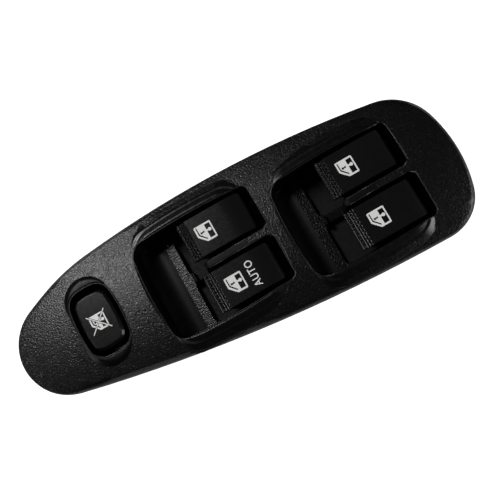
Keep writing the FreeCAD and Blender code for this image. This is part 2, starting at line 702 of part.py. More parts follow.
def lock_guard_sides(shrink):
    return box_sides(size.lock_x, size.lock_y, size.lock_guard_half_length - shrink,
                     size.lock_guard_half_width - shrink, size.lock_guard_side_bend, size.lock_guard_end_bend)


def bezel_blank():
    """The panel's outer form, solid: outline, rounded edge, crown and guards."""
    blank = body("bezel_blank")
    outline = sketch(blank, lift=size.deck_level)
    rounded_outline(outline, PANEL_SIDES, PANEL_CORNERS)
    pad(blank, outline, size.edge_start - size.deck_level)
    sections = []
    for degrees in EDGE_STEPS:
        rise = size.edge_round * math.sin(math.radians(degrees))
        inset = size.edge_round * (1 - math.cos(math.radians(degrees)))
        section = sketch(blank, lift=size.edge_start + rise)
        rounded_outline(section, PANEL_SIDES, PANEL_CORNERS, inset)
        sections.append(section)
    loft(blank, sections)
    lid = sketch(blank, lift=size.edge_start + rise)
    rounded_outline(lid, PANEL_SIDES, PANEL_CORNERS, inset)
    pad(blank, lid, size.crown_top + BEYOND - size.edge_start)
    cut_to_crown(blank)
    for x, y, start in WELLS.values():
        outer_run = size.outer_slope_run
        inner_run = size.inner_slope_run * (size.rim_level - size.ledge_level)
        guard(blank, guard_sides(x, y, outer_run), [size.guard_round] * 4, size.ledge_level,
              size.outer_slope_run, size.guard_root)
        guard(blank, guard_sides(x, y, outer_run + size.ledge_land + inner_run),
              [size.guard_round - size.ledge_land] * 4, size.rim_level, size.inner_slope_run, size.guard_root + 1.0)
    guard(blank, lock_guard_sides(size.outer_slope_run), [size.lock_guard_round] * 4, size.rim_level,
          size.outer_slope_run, size.guard_root)
    return blank


def flared_mouth(cutter, sides, corners):
    """Widen a cutter at 45 degrees from just below the rim to clear of the crown, for the rim's bevel."""
    low = size.rim_level - size.rim_bevel
    high = size.crown_top + BEYOND
    foot = sketch(cutter, lift=low)
    rounded_outline(foot, sides, corners)
    flare = sketch(cutter, lift=high)
    rounded_outline(flare, sides, corners, inset=low - high)
    loft(cutter, [foot, flare])


def bay_outline(target, x, y, side, inset=0.0):
    """The outline of one rocker's bay: open to the well in front, with round corners at its rear end."""
    middle = y + side * size.rocker_pitch / 2
    front = x + size.bay_reach - size.bay_length
    rear = x + size.bay_reach - inset
    half = size.bay_half_width - inset
    points = [(front, middle - half)]
    for sign in (-1, 1):
        for n in range(BAY_CORNER_SIDES + 1):
            angle = math.pi / 2 * n / BAY_CORNER_SIDES
            if sign > 0:
                angle = math.pi / 2 - angle
            back = size.bay_round * (1 - math.sin(angle))
            inwards = size.bay_round * (1 - math.cos(angle))
            points.append((rear - back, middle + sign * (half - inwards)))
    points.append((front, middle + half))
    polygon(target, points)


def bay(cutter, x, y, side):
    """One rocker's bay at the rear end of a well, drafted and bevelled like the well."""
    low = size.rim_level - size.rim_bevel
    high = size.crown_top + BEYOND
    sections = []
    for level, inset in (
        (size.scoop_floor, (size.rim_level - size.scoop_floor) * size.well_draft),
        (low, 0.0),
        (high, low - high),
    ):
        section = sketch(cutter, lift=level)
        bay_outline(section, x, y, side, inset)
        sections.append(section)
    loft(cutter, sections)


def well_cutter(label, x, y, start):
    """The hollow of one well: drafted walls, finger scoop, rocker openings, and the bar left standing."""
    cutter = body(label)
    floor = sketch(cutter, lift=size.scoop_floor)
    rounded_outline(floor, well_sides(x, y), WELL_CORNERS, inset=(size.rim_level - size.scoop_floor) * size.well_draft)
    rim = sketch(cutter, lift=size.rim_level)
    rounded_outline(rim, well_sides(x, y), WELL_CORNERS)
    loft(cutter, [floor, rim])
    flared_mouth(cutter, well_sides(x, y), WELL_CORNERS)
    for side in (-1, 1):
        bay(cutter, x, y, side)
    ground = sketch(cutter, "XZ_Plane", lift=-y)
    edge_x = x + start
    axis_x = edge_x - size.scoop_set_back
    axis_z = size.scoop_floor + size.scoop_radius
    edge_z = axis_z - root(size.scoop_radius * size.scoop_radius - size.scoop_set_back * size.scoop_set_back)
    front_x = x - size.well_half_length - BEYOND
    fall = root(size.scoop_radius * size.scoop_radius - SCOOP_LIFT * SCOOP_LIFT)
    polygon(ground, [
        (axis_x - fall, axis_z - SCOOP_LIFT),
        (edge_x, edge_z),
        (edge_x + BEYOND / 2, edge_z),
        (edge_x + BEYOND / 2, size.rear_floor),
        (x + size.well_half_length + BEYOND, size.rear_floor),
        (x + size.well_half_length + BEYOND, size.deck_level),
        (front_x, size.deck_level),
        (front_x, axis_z - SCOOP_LIFT),
    ], bends={0: size.scoop_radius})
    pocket(cutter, ground, 4 * size.well_half_width, both_ways=True)
    doc.recompute()
    outer_edge = (size.rocker_pitch + size.rocker_width) / 2 + size.opening_gap
    width = outer_edge - size.divider_web / 2
    for side in (-1, 1):
        opening = sketch(cutter, lift=size.tub_bottom - BEYOND / 2)
        middle = y + side * (outer_edge + size.divider_web / 2) / 2
        length = size.opening_end - start
        rounded_rectangle(opening, x + (size.opening_end + start) / 2, middle, length, width, size.opening_round)
        pad(cutter, opening, size.scoop_floor + size.scoop_radius - size.tub_bottom)
    bar = sketch(cutter, "XZ_Plane", lift=-y)
    bar_front = x + size.bar_start
    bar_top = size.rim_level - size.bar_drop
    polygon(bar, [
        (bar_front - size.bar_rake, size.tub_bottom - BEYOND),
        (x + size.well_half_length + BEYOND, size.tub_bottom - BEYOND),
        (x + size.well_half_length + BEYOND, size.crown_top + size.bar_crest),
        (bar_front + size.bar_round, bar_top),
        (bar_front, bar_top - size.bar_round),
    ])
    pocket(cutter, bar, size.bar_width, both_ways=True)
    root_level = size.tub_bottom - BEYOND
    spread = sketch(cutter, lift=root_level)
    half_bar = size.bar_width / 2
    polygon(spread, [
        (x + size.bar_root, y - half_bar),
        (x + size.well_half_length + BEYOND, y - half_bar - size.bar_spread),
        (x + size.well_half_length + BEYOND, y + half_bar + size.bar_spread),
        (x + size.bar_root, y + half_bar),
    ])
    pocket(cutter, spread, size.crown_top + 2 * BEYOND - root_level, up=True)
    return cutter


def rounded_rectangle(target, x, y, length, width, radius):
    """A rectangle with round corners about its middle."""
    half_x, half_y = length / 2 - radius, width / 2 - radius
    corners = [(x + half_x, y + half_y), (x - half_x, y + half_y), (x - half_x, y - half_y), (x + half_x, y - half_y)]
    for n, (cx, cy) in enumerate(corners):
        first = n * math.pi / 2
        arc = Part.ArcOfCircle(Part.Circle(Vector(cx, cy, 0), Vector(0, 0, 1), float(radius)),
                               first, first + math.pi / 2)
        target.addGeometry(arc, False)
    for n in range(4):
        ends = [target.Geometry[n].EndPoint, target.Geometry[(n + 1) % 4].StartPoint]
        target.addGeometry(Part.LineSegment(*ends), False)
    for n in range(4):
        constrain(target, "Tangent", n, 2, 4 + n, 1)
        constrain(target, "Tangent", 4 + n, 2, (n + 1) % 4, 1)
        constrain(target, "Radius", n, value=radius)
    place_point(target, 0, 3, *corners[0])
    place_point(target, 2, 3, *corners[2])


def lock_cutter():
    """The lock button's opening, drafted down to its throat and straight below."""
    cutter = body("lock_opening_cutter")
    corners = [size.lock_round] * 4
    throat = sketch(cutter, lift=size.lock_throat_level)
    inset = (size.rim_level - size.lock_throat_level) * size.lock_draft
    rounded_outline(throat, lock_sides(), corners, inset)
    rim = sketch(cutter, lift=size.rim_level)
    rounded_outline(rim, lock_sides(), corners)
    loft(cutter, [throat, rim])
    flared_mouth(cutter, lock_sides(), corners)
    shaft = sketch(cutter, lift=size.lock_throat_level)
    rounded_outline(shaft, lock_sides(), corners, inset)
    pad(cutter, shaft, size.lock_throat_level - size.tub_bottom + BEYOND, down=True)
    return cutter


def prism(label, sides, corners, inset, low, high):
    """An upright prism over an outline."""
    made = body(label)
    outline = sketch(made, lift=low)
    rounded_outline(outline, sides, corners, inset)
    pad(made, outline, high - low)
    return made


def box(label, x, y, z, length, width, height):
    """A box about x and y, standing on z."""
    made = doc.addObject("Part::Box", label)
    made.Label = label
    tie(made, "Length", length)
    tie(made, "Width", width)
    tie(made, "Height", height)
    for axis, value in (("x", x - length / 2), ("y", y - width / 2), ("z", z)):
        made.setExpression(f"Placement.Base.{axis}", text_of(value))
    return made


def fuse(label, things):
    made = doc.addObject("Part::MultiFuse", label)
    made.Label = label
    made.Shapes = things
    return made


def cut(label, base, tool):
    made = doc.addObject("Part::Cut", label)
    made.Label = label
    made.Base = base
    made.Tool = tool
    return made


def bezel():
    """The trim panel: a shell under the crown with wells, openings, bosses and clip ribs left standing."""
    inside = prism("bezel_inside", PANEL_SIDES, PANEL_CORNERS, size.bezel_wall, size.deck_level - BEYOND,
                   size.crown_top + BEYOND)
    cut_to_ceiling(inside)
    below = box("bezel_below", 0.0, 0.0, size.deck_level - BEYOND, 2 * PANEL_REACH, PANEL_REACH,
                size.seat_level - size.deck_level + BEYOND)
    top = size.crown_top + 2 * BEYOND
    standing = []
    for name, (x, y, start) in WELLS.items():
        standing.append(prism(f"{name}_tub", well_sides(x, y), WELL_CORNERS, -size.tub_wall, size.tub_bottom, top))
        for side in (-1, 1):
            bay_tub = body(f"{name}_bay_tub_{side + 1}")
            outline = sketch(bay_tub, lift=size.tub_bottom)
            bay_outline(outline, x, y, side, -size.tub_wall)
            pad(bay_tub, outline, top - size.tub_bottom)
            standing.append(bay_tub)
    standing.append(prism("lock_tub", lock_sides(), [size.lock_round] * 4, -size.tub_wall, size.tub_bottom, top))
    for n, (x, y) in enumerate(BOSSES):
        standing.append(box(f"bezel_boss_{n}", x, y, size.deck_level, 2 * size.boss_half, 2 * size.boss_half,
                            top - size.deck_level))
    for name, x, y in CLIPS:
        low = size.seat_level - size.clip_drop
        standing.append(box(f"{name}_clip_rib", x, y, low, size.clip_rib, size.clip_rib_width, top - low))
    hollow = cut("bezel_hollow", fuse("bezel_underside", [inside, below]), fuse("bezel_standing", standing))
    openings = [well_cutter(f"{name}_well_cutter", *WELLS[name]) for name in WELLS]
    openings.append(lock_cutter())
    for n, (x, y) in enumerate(BOSSES):
        pilot = body(f"pilot_{n}", x, y, size.deck_level - 1)
        hole = sketch(pilot)
        many_sided(hole, 0.0, 0.0, size.pilot_radius, SHANK_SIDES)
        pad(pilot, hole, size.screw_length + 1)
        openings.append(pilot)
    shell = cut("bezel_shell", bezel_blank(), hollow)
    return cut("bezel", shell, fuse("bezel_openings", openings))


# Rockers

def rocker(label, x, y):
    """One rocker: a hollow key with a ribbed nose, pivot holes in its side walls and a leg down to its slider."""
    key = body(label, x, y, size.pivot_level)
    side = sketch(key, "XZ_Plane")
    nose_low = size.nose_rise - size.nose_depth
    grip_end = size.nose_reach - size.grip_length
    run = size.rear_reach - size.roll_start
    roll = (run * run + size.roll_drop * size.roll_drop) / (2 * size.roll_drop)
    short_run = run - size.rear_round
    short_drop = roll - root(roll * roll - short_run * short_run)
    slope = (size.rocker_rise - size.grip_step - size.nose_rise) / size.grip_length
    grooves = []
    for n in range(1, GRIP_GROOVES + 1):
        behind_nose = size.grip_length * (1 - n / (GRIP_GROOVES + 1.0)) + size.nose_round_top / 2
        for off, depth in ((size.grip_groove_half, 0.0), (0.0, size.grip_groove_depth), (-size.grip_groove_half, 0.0)):
            reach = behind_nose + off
            grooves.append((-size.nose_reach + reach, size.nose_rise + reach * slope - depth))
    polygon(side, [
        (size.rear_reach, -size.skirt_drop),
        (size.rear_reach, size.rocker_rise - size.roll_drop - size.rear_round),
        (size.rear_reach - size.rear_round, size.rocker_rise - short_drop),
        (size.roll_start, size.rocker_rise),
        (-grip_end, size.rocker_rise),
        (-grip_end, size.rocker_rise - size.grip_step),
        *grooves,
        (-size.nose_reach + size.nose_round_top, size.nose_rise + size.nose_round_top * slope),
        (-size.nose_reach, size.nose_rise - size.nose_round_top),
        (-size.nose_reach, nose_low),
        (-size.throat_reach, size.throat_rise),
        (-size.skirt_front, -size.skirt_drop),
    ], bends={1: size.rear_round * REAR_BEND, 2: roll, 6 + len(grooves): size.nose_round_top})
    pad(key, side, size.rocker_width, both_ways=True)
    for side_sign in (-1, 1):
        corner = sketch(key, lift=-size.skirt_drop - 1)
        corner_sliver(corner, size.rear_reach, size.rocker_width / 2, size.rear_corner_round, side_sign)
        pocket(key, corner, size.skirt_drop + size.rocker_rise + 2, up=True)
    hollow = sketch(key, "XZ_Plane")
    ceiling = size.rocker_rise - size.rocker_wall - size.ceiling_extra
    polygon(hollow, [
        (-size.skirt_front + size.rocker_wall, -size.skirt_drop - BEYOND),
        (size.rear_reach - size.rocker_wall, -size.skirt_drop - BEYOND),
        (size.rear_reach - size.rocker_wall, ceiling - size.roll_drop),
        (size.rear_reach - size.rocker_wall - size.roll_drop, ceiling),
        (-size.skirt_front + size.rocker_wall, ceiling),
    ])
    pocket(key, hollow, size.rocker_width - 2 * size.rocker_wall, both_ways=True)
    holes = sketch(key, "XZ_Plane")
    circle(holes, 0.0, 0.0, size.pin_radius + size.pin_play)
    pocket(key, holes, size.rocker_width + BEYOND, both_ways=True)
    leg = sketch(key, "XZ_Plane")
    tip_x = size.leg_tip_radius * math.cos(math.radians(LEG_TIP_LEAN))
    tip_z = -size.leg_reach - size.leg_tip_radius * math.sin(math.radians(LEG_TIP_LEAN))
    neck_z = -size.leg_reach + size.leg_tip_radius + size.slot_play
    polygon(leg, [
        (-tip_x, tip_z),
        (tip_x, tip_z),
        (size.leg_tip_radius, -size.leg_reach),
        (size.leg_neck, neck_z),
        (size.leg_root, ceiling + size.rocker_wall / 2),
        (-size.leg_root, ceiling + size.rocker_wall / 2),
        (-size.leg_neck, neck_z),
        (-size.leg_tip_radius, -size.leg_reach),
    ], bends={0: size.leg_tip_radius})
    pad(key, leg, size.leg_width, both_ways=True)
    for side_sign in (-1, 1):
        rib = sketch(key, "XZ_Plane")
        rectangle(rib, side_sign * size.spring_reach, ceiling, size.spring_rib * 2, size.spring_rib * 2)
        pad(key, rib, size.spring_width, both_ways=True)
    return key


def corner_sliver(target, x, y, radius, sign):
    """The region outside the round corner at (x, sign * y), to be cut away."""
    beyond = 1.0
    points = [
        (x - radius, sign * y),
        (x - radius, sign * (y + beyond)),
        (x + beyond, sign * (y + beyond)),
        (x + beyond, sign * (y - radius)),
        (x, sign * (y - radius)),
    ]
    for n in range(len(points) - 1):
        target.addGeometry(Part.LineSegment(Vector(*points[n], 0), Vector(*points[n + 1], 0)), False)
    last = len(points) - 1
    centre = Vector(x - radius, sign * (y - radius), 0)
    ends = [Vector(*points[last], 0) - centre, Vector(*points[0], 0) - centre]
    if sign < 0:
        ends.reverse()
    add_arc(target, centre, radius, *ends)
    for n in range(last - 1):
        constrain(target, "Coincident", n, 2, n + 1, 1)
    constrain(target, "Coincident", last - 1, 2, last, 1 if sign > 0 else 2)
    constrain(target, "Coincident", 0, 1, last, 2 if sign > 0 else 1)
    for n in range(last):
        place_point(target, n, 1, *points[n])
    place_point(target, last - 1, 2, *points[last])
    constrain(target, "Radius", last, value=radius)


def return_spring(label, x, y):
    """A leaf spring laid over a tower, its two arms curving up to the ribs under the rocker."""
    leaf = body(label, x, y, size.tower_top)
    profile = sketch(leaf, "XZ_Plane")
    ceiling = size.pivot_level + size.rocker_rise - size.rocker_wall - size.ceiling_extra
    tip = ceiling - size.spring_rib - size.tower_top
    run = size.spring_reach - size.spring_flat
    thick = size.spring_thickness
    polygon(profile, [
        (-size.spring_reach, tip - thick),
        (-size.spring_flat, 0.0),
        (size.spring_flat, 0.0),
        (size.spring_reach, tip - thick),
        (size.spring_reach, tip),
        (size.spring_reach - run / 8, tip),
        (size.spring_flat - thick, thick),
        (-size.spring_flat + thick, thick),
        (-size.spring_reach + run / 8, tip),
        (-size.spring_reach, tip),
    ])
    pad(leaf, profile, size.spring_width, both_ways=True)
    window = sketch(leaf, lift=-thick)
    rectangle(window, 0.0, 0.0, 2 * size.spring_window, size.leg_width + 1.2)
    pocket(leaf, window, 4 * thick, up=True)
    return leaf


def slider(label, x, y):
    """A contact slider: a block with a slot that the rocker's leg works in."""
    block = body(label, x, y, size.board_level + size.board_thickness + size.slider_lift)
    outline = sketch(block)
    rectangle(outline, 0.0, 0.0, 2 * size.slider_half_length, size.slider_width)
    pad(block, outline, size.slider_height)
    slot = sketch(block)
    rectangle(slot, 0.0, 0.0, 2 * (size.leg_tip_radius + size.slot_play), size.leg_width + 4 * size.slot_play)
    pocket(block, slot, size.slider_height + 1, up=True)
    return block


def contact_bridge(label, x, y):
    """A bent strip under a slider, which rides on the fixed contacts with its two bows."""
    under = size.board_level + size.board_thickness + size.slider_lift
    strips = body(label, x, y, under)
    profile = sketch(strips, "XZ_Plane")
    drop = size.slider_lift - size.contact_height - size.contact_play
    half, thick = size.bridge_half_length, size.bridge_thickness
    polygon(profile, [
        (-half, -thick),
        (-half * 0.75, -drop),
        (-half * 0.6, -drop),
        (-half * 0.35, -thick),
        (half * 0.35, -thick),
        (half * 0.6, -drop),
        (half * 0.75, -drop),
        (half, -thick),
        (half, 0.0),
        (half * 0.75 - thick / 2, -drop + thick),
        (half * 0.6 + thick / 2, -drop + thick),
        (half * 0.35, 0.0),
        (-half * 0.35, 0.0),
        (-half * 0.6 - thick / 2, -drop + thick),
        (-half * 0.75 + thick / 2, -drop + thick),
        (-half, 0.0),
    ])
    pad(strips, profile, size.bridge_width, both_ways=True)
    return strips


ROCKERS = {
    "front_left": ("front", -1),
    "front_right": ("front", 1),
    "rear_left": ("rear", -1),
    "rear_right": ("rear", 1),
}


def rocker_place(name):
    """The middle of a rocker's pivot, seen from above."""
    well, side = ROCKERS[name]
    x, y, start = WELLS[well]
    return x + size.pivot_set_back, y + side * size.rocker_pitch / 2


def group(label, things):
    """Separate solids kept together as one node."""
    made = doc.addObject("Part::Compound", label)
    made.Label = label
    made.Links = things
    return made


# Lock button and its switch

def button_sides(grow):
    return box_sides(size.lock_x, size.lock_y, size.button_half_length + grow, size.button_half_width + grow,
                     size.button_side_bend, size.button_end_bend)


def lock_button():
    """The push button: sloping flanks over a straight hollow skirt, with a socket for the plunger's stem."""
    button = body("window_lock_button")
    corners = [size.button_round] * 4
    shoulder = size.button_top - size.button_flank_drop
    low = sketch(button, lift=shoulder)
    rounded_outline(low, button_sides(0.0), corners, -size.button_flank_run)
    edge = sketch(button, lift=size.button_top - size.button_edge_round)
    rounded_outline(edge, button_sides(0.0), corners)
    top = sketch(button, lift=size.button_top)
    rounded_outline(top, button_sides(0.0), corners, size.button_edge_round)
    loft(button, [low, edge, top])
    skirt = sketch(button, lift=shoulder)
    rounded_outline(skirt, button_sides(0.0), corners, -size.button_flank_run)
    pad(button, skirt, size.button_skirt, down=True)
    hollow = sketch(button, lift=shoulder - size.button_skirt)
    inner_length = 2 * (size.button_half_length + size.button_flank_run - size.button_wall)
    inner_width = 2 * (size.button_half_width + size.button_flank_run - size.button_wall)
    rectangle(hollow, size.lock_x, size.lock_y, inner_length - size.button_wall, inner_width - size.button_wall)
    pocket(button, hollow, size.button_skirt, up=True)
    well = sketch(button, lift=shoulder)
    rectangle(well, size.lock_x, size.lock_y, inner_length - 3 * size.button_wall,
              inner_width - 3 * size.button_wall)
    pocket(button, well, size.button_flank_drop - size.button_wall, up=True)
    post = sketch(button, lift=stem_top() - size.stem_grip)
    rectangle(post, size.lock_x, size.lock_y, size.stem_length + 2 * size.button_wall,
              size.stem_width + 2 * size.button_wall)
    pad(button, post, size.button_top - size.button_wall / 2 - stem_top() + size.stem_grip)
    socket = sketch(button, lift=stem_top() - size.stem_grip - 1)
    rectangle(socket, size.lock_x, size.lock_y, size.stem_length, size.stem_width)
    pocket(button, socket, size.stem_grip + 1, up=True)
    return button


def board_top():
    return size.board_level + size.board_thickness


def deck_under():
    return size.deck_level - size.deck_thickness


def case_top():
    return deck_under() - size.case_gap


def block_top():
    return case_top() - size.case_roof - size.plunger_play


def stem_top():
    return size.button_top - size.button_wall - 6.0


def lock_plunger():
    """The plunger: a guided block with a bore for its spring and a leaning groove for the latch wire."""
    plunger = body("lock_plunger")
    block = sketch(plunger, lift=block_top() - size.plunger_block)
    inner_length = size.case_length - 2 * size.case_wall - 2 * size.plunger_play
    inner_width = size.case_width - 2 * size.case_wall - 2 * size.plunger_play
    rectangle(block, size.lock_x, size.lock_y, inner_length, inner_width)
    pad(plunger, block, size.plunger_block)
    stem = sketch(plunger, lift=block_top())
    rectangle(stem, size.lock_x, size.lock_y, size.stem_length, size.stem_width)
    pad(plunger, stem, stem_top() - block_top())
    bore = sketch(plunger, lift=block_top() - size.plunger_block)
    circle(bore, size.lock_x, size.lock_y, size.lock_coil_radius + size.wire_radius + 0.2)
    pocket(plunger, bore, size.plunger_block - 1.0, up=True)
    groove = sketch(plunger, "XZ_Plane", lift=-(size.lock_y + inner_width / 2))
    foot_z = latch_tip()
    half = size.wire_radius + size.latch_play
    polygon(groove, [
        (size.lock_x - half, foot_z - half),
        (size.lock_x + half, foot_z - half),
        (size.lock_x + half + size.latch_lean, foot_z + size.button_travel + half),
        (size.lock_x - half + size.latch_lean, foot_z + size.button_travel + half),
    ])
    pocket(plunger, groove, 2 * size.latch_leg, both_ways=True)
    return plunger


def latch_foot():
    return board_top() + size.case_floor + 1.0


def latch_tip():
    return latch_foot() + size.latch_length


def latch_wire():
    """The bent wire of the push lock: its foot turns in the case, its tip rides in the plunger's groove."""
    wall_y = size.lock_y + size.case_width / 2 - size.case_wall
    wire = body("lock_latch_wire")
    path = sketch(wire, "YZ_Plane", lift=size.lock_x)
    bend = size.wire_radius * 2
    middle = wall_y + size.wire_radius + 0.1
    path_line(path, [
        (middle + size.latch_leg, latch_foot()),
        (middle, latch_foot()),
        (middle, latch_tip()),
        (middle - size.latch_leg, latch_tip()),
    ])
    section = sketch(wire, "XZ_Plane", lift=-(middle + size.latch_leg))
    many_sided(section, size.lock_x, latch_foot(), size.wire_radius, WIRE_SIDES)
    pipe = wire.newObject("PartDesign::AdditivePipe", "latch_pipe")
    pipe.Profile = section
    pipe.Spine = path
    pipe.Transition = "Right corner"
    return wire


def many_sided(target, x, y, reach, count):
    """A regular outline with so many corners at the given radius."""
    points = []
    for n in range(count):
        angle = 2 * math.pi * n / count
        points.append((x + reach * math.cos(angle), y + reach * math.sin(angle)))
    polygon(target, points)


def path_line(target, points):
    """An open path of straight runs."""
    for n in range(len(points) - 1):
        target.addGeometry(Part.LineSegment(Vector(*points[n], 0), Vector(*points[n + 1], 0)), False)
    for n in range(len(points) - 2):
        constrain(target, "Coincident", n, 2, n + 1, 1)
    for n in range(len(points) - 1):
        place_point(target, n, 1, *points[n])
    place_point(target, len(points) - 2, 2, *points[-1])


def lock_spring():
    """The lock button's coil spring, between the case's floor and the plunger's bore."""
    low = float(board_top() + size.case_floor + size.wire_radius)
    high = float(block_top() - 1.0 - size.wire_radius)
    radius = float(size.lock_coil_radius)
    steps_per_turn = 10
    steps = int(float(size.lock_coil_turns) * steps_per_turn)
    points = []
    for n in range(steps + 1):
        angle = 2 * math.pi * n / steps_per_turn
        rise = low + (high - low) * n / steps
        points.append(Vector(size.lock_x + radius * math.cos(angle), size.lock_y + radius * math.sin(angle), rise))
    path = Part.makePolygon(points)
    reach = float(size.wire_radius)
    corners = []
    for out, up in ((1, 1), (-1, 1), (-1, -1), (1, -1)):
        corners.append(points[0] + Vector(out * reach, 0, up * reach))
    section = Part.makePolygon(corners + [corners[0]])
    coil = doc.addObject("Part::Feature", "lock_spring")
    coil.Label = "lock_spring"
    coil.Shape = path.makePipeShell([section], True, True, 1)
    return coil


def lock_case():
    """The push lock's case on the circuit board."""
    case = body("lock_switch_case")
    outline = sketch(case, lift=board_top())
    rectangle(outline, size.lock_x, size.lock_y, size.case_length, size.case_width)
    pad(case, outline, case_top() - board_top())
    inside = sketch(case, lift=board_top() + size.case_floor)
    rectangle(inside, size.lock_x, size.lock_y, size.case_length - 2 * size.case_wall,
              size.case_width - 2 * size.case_wall)
    pocket(case, inside, case_top() - size.case_roof - board_top() - size.case_floor, up=True)
    mouth = sketch(case, lift=case_top() - size.case_roof - 1)
    rectangle(mouth, size.lock_x, size.lock_y, size.stem_length + 2 * size.plunger_play,
              size.stem_width + 2 * size.plunger_play)
    pocket(case, mouth, size.case_roof + 2, up=True)
    wall_y = size.lock_y + size.case_width / 2 - size.case_wall
    slot = sketch(case, lift=latch_foot() - size.wire_radius - 0.15)
    room = size.latch_lean + size.wire_radius + 0.4
    rectangle(slot, size.lock_x, wall_y, 2 * room, 2 * (2 * size.wire_radius + 0.3))
    pocket(case, slot, size.latch_length + 2 * size.wire_radius + 0.5, up=True)
    hole = sketch(case, "XZ_Plane", lift=-(wall_y + size.case_wall))
    circle(hole, size.lock_x, latch_foot(), size.wire_radius + 0.08)
    pocket(case, hole, 2 * size.case_wall, both_ways=True)
    return case


# Module housing and cover

BOARD_RESTS = [
    (size.module_step_x + 7.0, size.module_step_low_y + 7.0),
    (size.module_step_x + 7.0, size.module_step_high_y - 7.0),
    (size.module_tail_x - 7.0, size.module_tail_low_y + 8.0),
    (size.module_tail_x - 7.0, size.module_tail_high_y - 8.0),
    (size.module_nose_x + 5.0, (size.module_nose_low_y + size.module_nose_high_y) / 2),
]
CATCHES = [
    (size.module_nose_x, (size.module_nose_low_y + size.module_nose_high_y) / 2),
    (size.module_step_x, size.front_boss_low_y),
    (size.module_step_x, size.front_boss_high_y),
    (size.module_tail_x, size.rear_boss_low_y),
    (size.module_tail_x, size.rear_boss_high_y),
]

def module_outline(target, inset=0.0):
    """The module's outline: narrow at the lock button and wide under the wells."""
    polygon(target, [
        (size.module_nose_x + inset, size.module_nose_low_y + inset),
        (size.module_step_x + inset, size.module_neck_low_y + inset),
        (size.module_step_x + inset, size.module_step_low_y + inset),
        (size.module_tail_x - inset, size.module_tail_low_y + inset),
        (size.module_tail_x - inset, size.module_tail_high_y - inset),
        (size.module_step_x + inset, size.module_step_high_y - inset),
        (size.module_step_x + inset, size.module_neck_high_y - inset),
        (size.module_nose_x + inset, size.module_nose_high_y - inset),
    ])


def outer_corner(edge):
    """True for the module's upright corners at its two ends."""
    place = edge.BoundBox
    upright = place.XLength < 0.01 and place.YLength < 0.01
    return upright and abs(place.XMin - float(size.module_step_x)) > 0.01


def housing():
    """The module's upper shell with its towers, pivot pins and slider guides."""
    shell = body("switch_housing")
    outline = sketch(shell, lift=size.joint_level)
    module_outline(outline)
    pad(shell, outline, size.deck_level - size.joint_level)
    round_edges(shell, size.module_round, outer_corner)
    inside = sketch(shell, lift=size.joint_level)
    module_outline(inside, size.housing_wall)
    pocket(shell, inside, deck_under() - size.joint_level, up=True)
    roof = deck_under()
    for name in ROCKERS:
        x, y = rocker_place(name)
        tower = sketch(shell, lift=roof)
        rectangle(tower, x, y, 2 * size.tower_half_length, size.tower_width)
        pad(shell, tower, size.tower_top - roof)
        pins = sketch(shell, "XZ_Plane", lift=-y)
        circle(pins, x, size.pivot_level, size.pin_radius)
        inner = size.rocker_width - 2 * size.rocker_wall
        pad(shell, pins, inner + 2 * size.pin_overlap, both_ways=True)
        bore = sketch(shell, lift=roof - 1)
        rectangle(bore, x, y, 2 * (size.tower_half_length - size.tower_wall), size.tower_width - 2 * size.tower_wall)
        pocket(shell, bore, size.tower_top - roof + 2, up=True)
        rail_low = board_top() + size.slider_play
        rail_step = board_top() + size.slider_lift + size.slider_height + size.slider_play
        for side in (-1, 1):
            lower = sketch(shell, lift=rail_low)
            inner_face = size.slider_width / 2 + size.slider_play
            rectangle(lower, x, y + side * (inner_face + size.rail_thickness / 2), 2 * size.rail_half_length,
                      size.rail_thickness)
            pad(shell, lower, roof - rail_low)
            upper = sketch(shell, lift=rail_step)
            rectangle(upper, x, y + side * inner_face, 2 * size.rail_half_length, 2 * size.rail_thickness)
            pad(shell, upper, roof - rail_step)
    stem_hole = sketch(shell, lift=roof - 1)
    rectangle(stem_hole, size.lock_x, size.lock_y, size.stem_length + 2 * size.button_wall + 2,
              size.stem_width + 2 * size.button_wall + 2)
    pocket(shell, stem_hole, size.deck_thickness + 2, up=True)
    shelf = sketch(shell, lift=roof)
    rectangle(shelf, size.lock_x, size.module_nose_high_y, size.shelf_length, 2 * size.shelf_reach)
    pad(shell, shelf, size.deck_thickness)
    for x, y in BOSSES:
        ear = sketch(shell, lift=roof)
        if x < 0:
            outer, inner = x - size.boss_half, size.module_step_x + size.housing_wall / 2
        else:
            outer, inner = size.module_tail_x - size.housing_wall / 2, x + size.boss_half
        rectangle(ear, (inner + outer) / 2, y, inner - outer, 2 * size.boss_half)
        pad(shell, ear, size.deck_thickness)
    holes = sketch(shell, lift=roof - 1)
    for x, y in BOSSES:
        many_sided(holes, x, y, size.screw_radius + size.screw_play, SHANK_SIDES)
    pocket(shell, holes, size.deck_thickness + 2, up=True)
    for x, y in CATCHES:
        catch = sketch(shell, "YZ_Plane", lift=x)
        rectangle(catch, y, size.joint_level + size.catch_rise, size.catch_width, size.catch_height)
        pad(shell, catch, 2 * size.catch_reach, both_ways=True)
    return shell


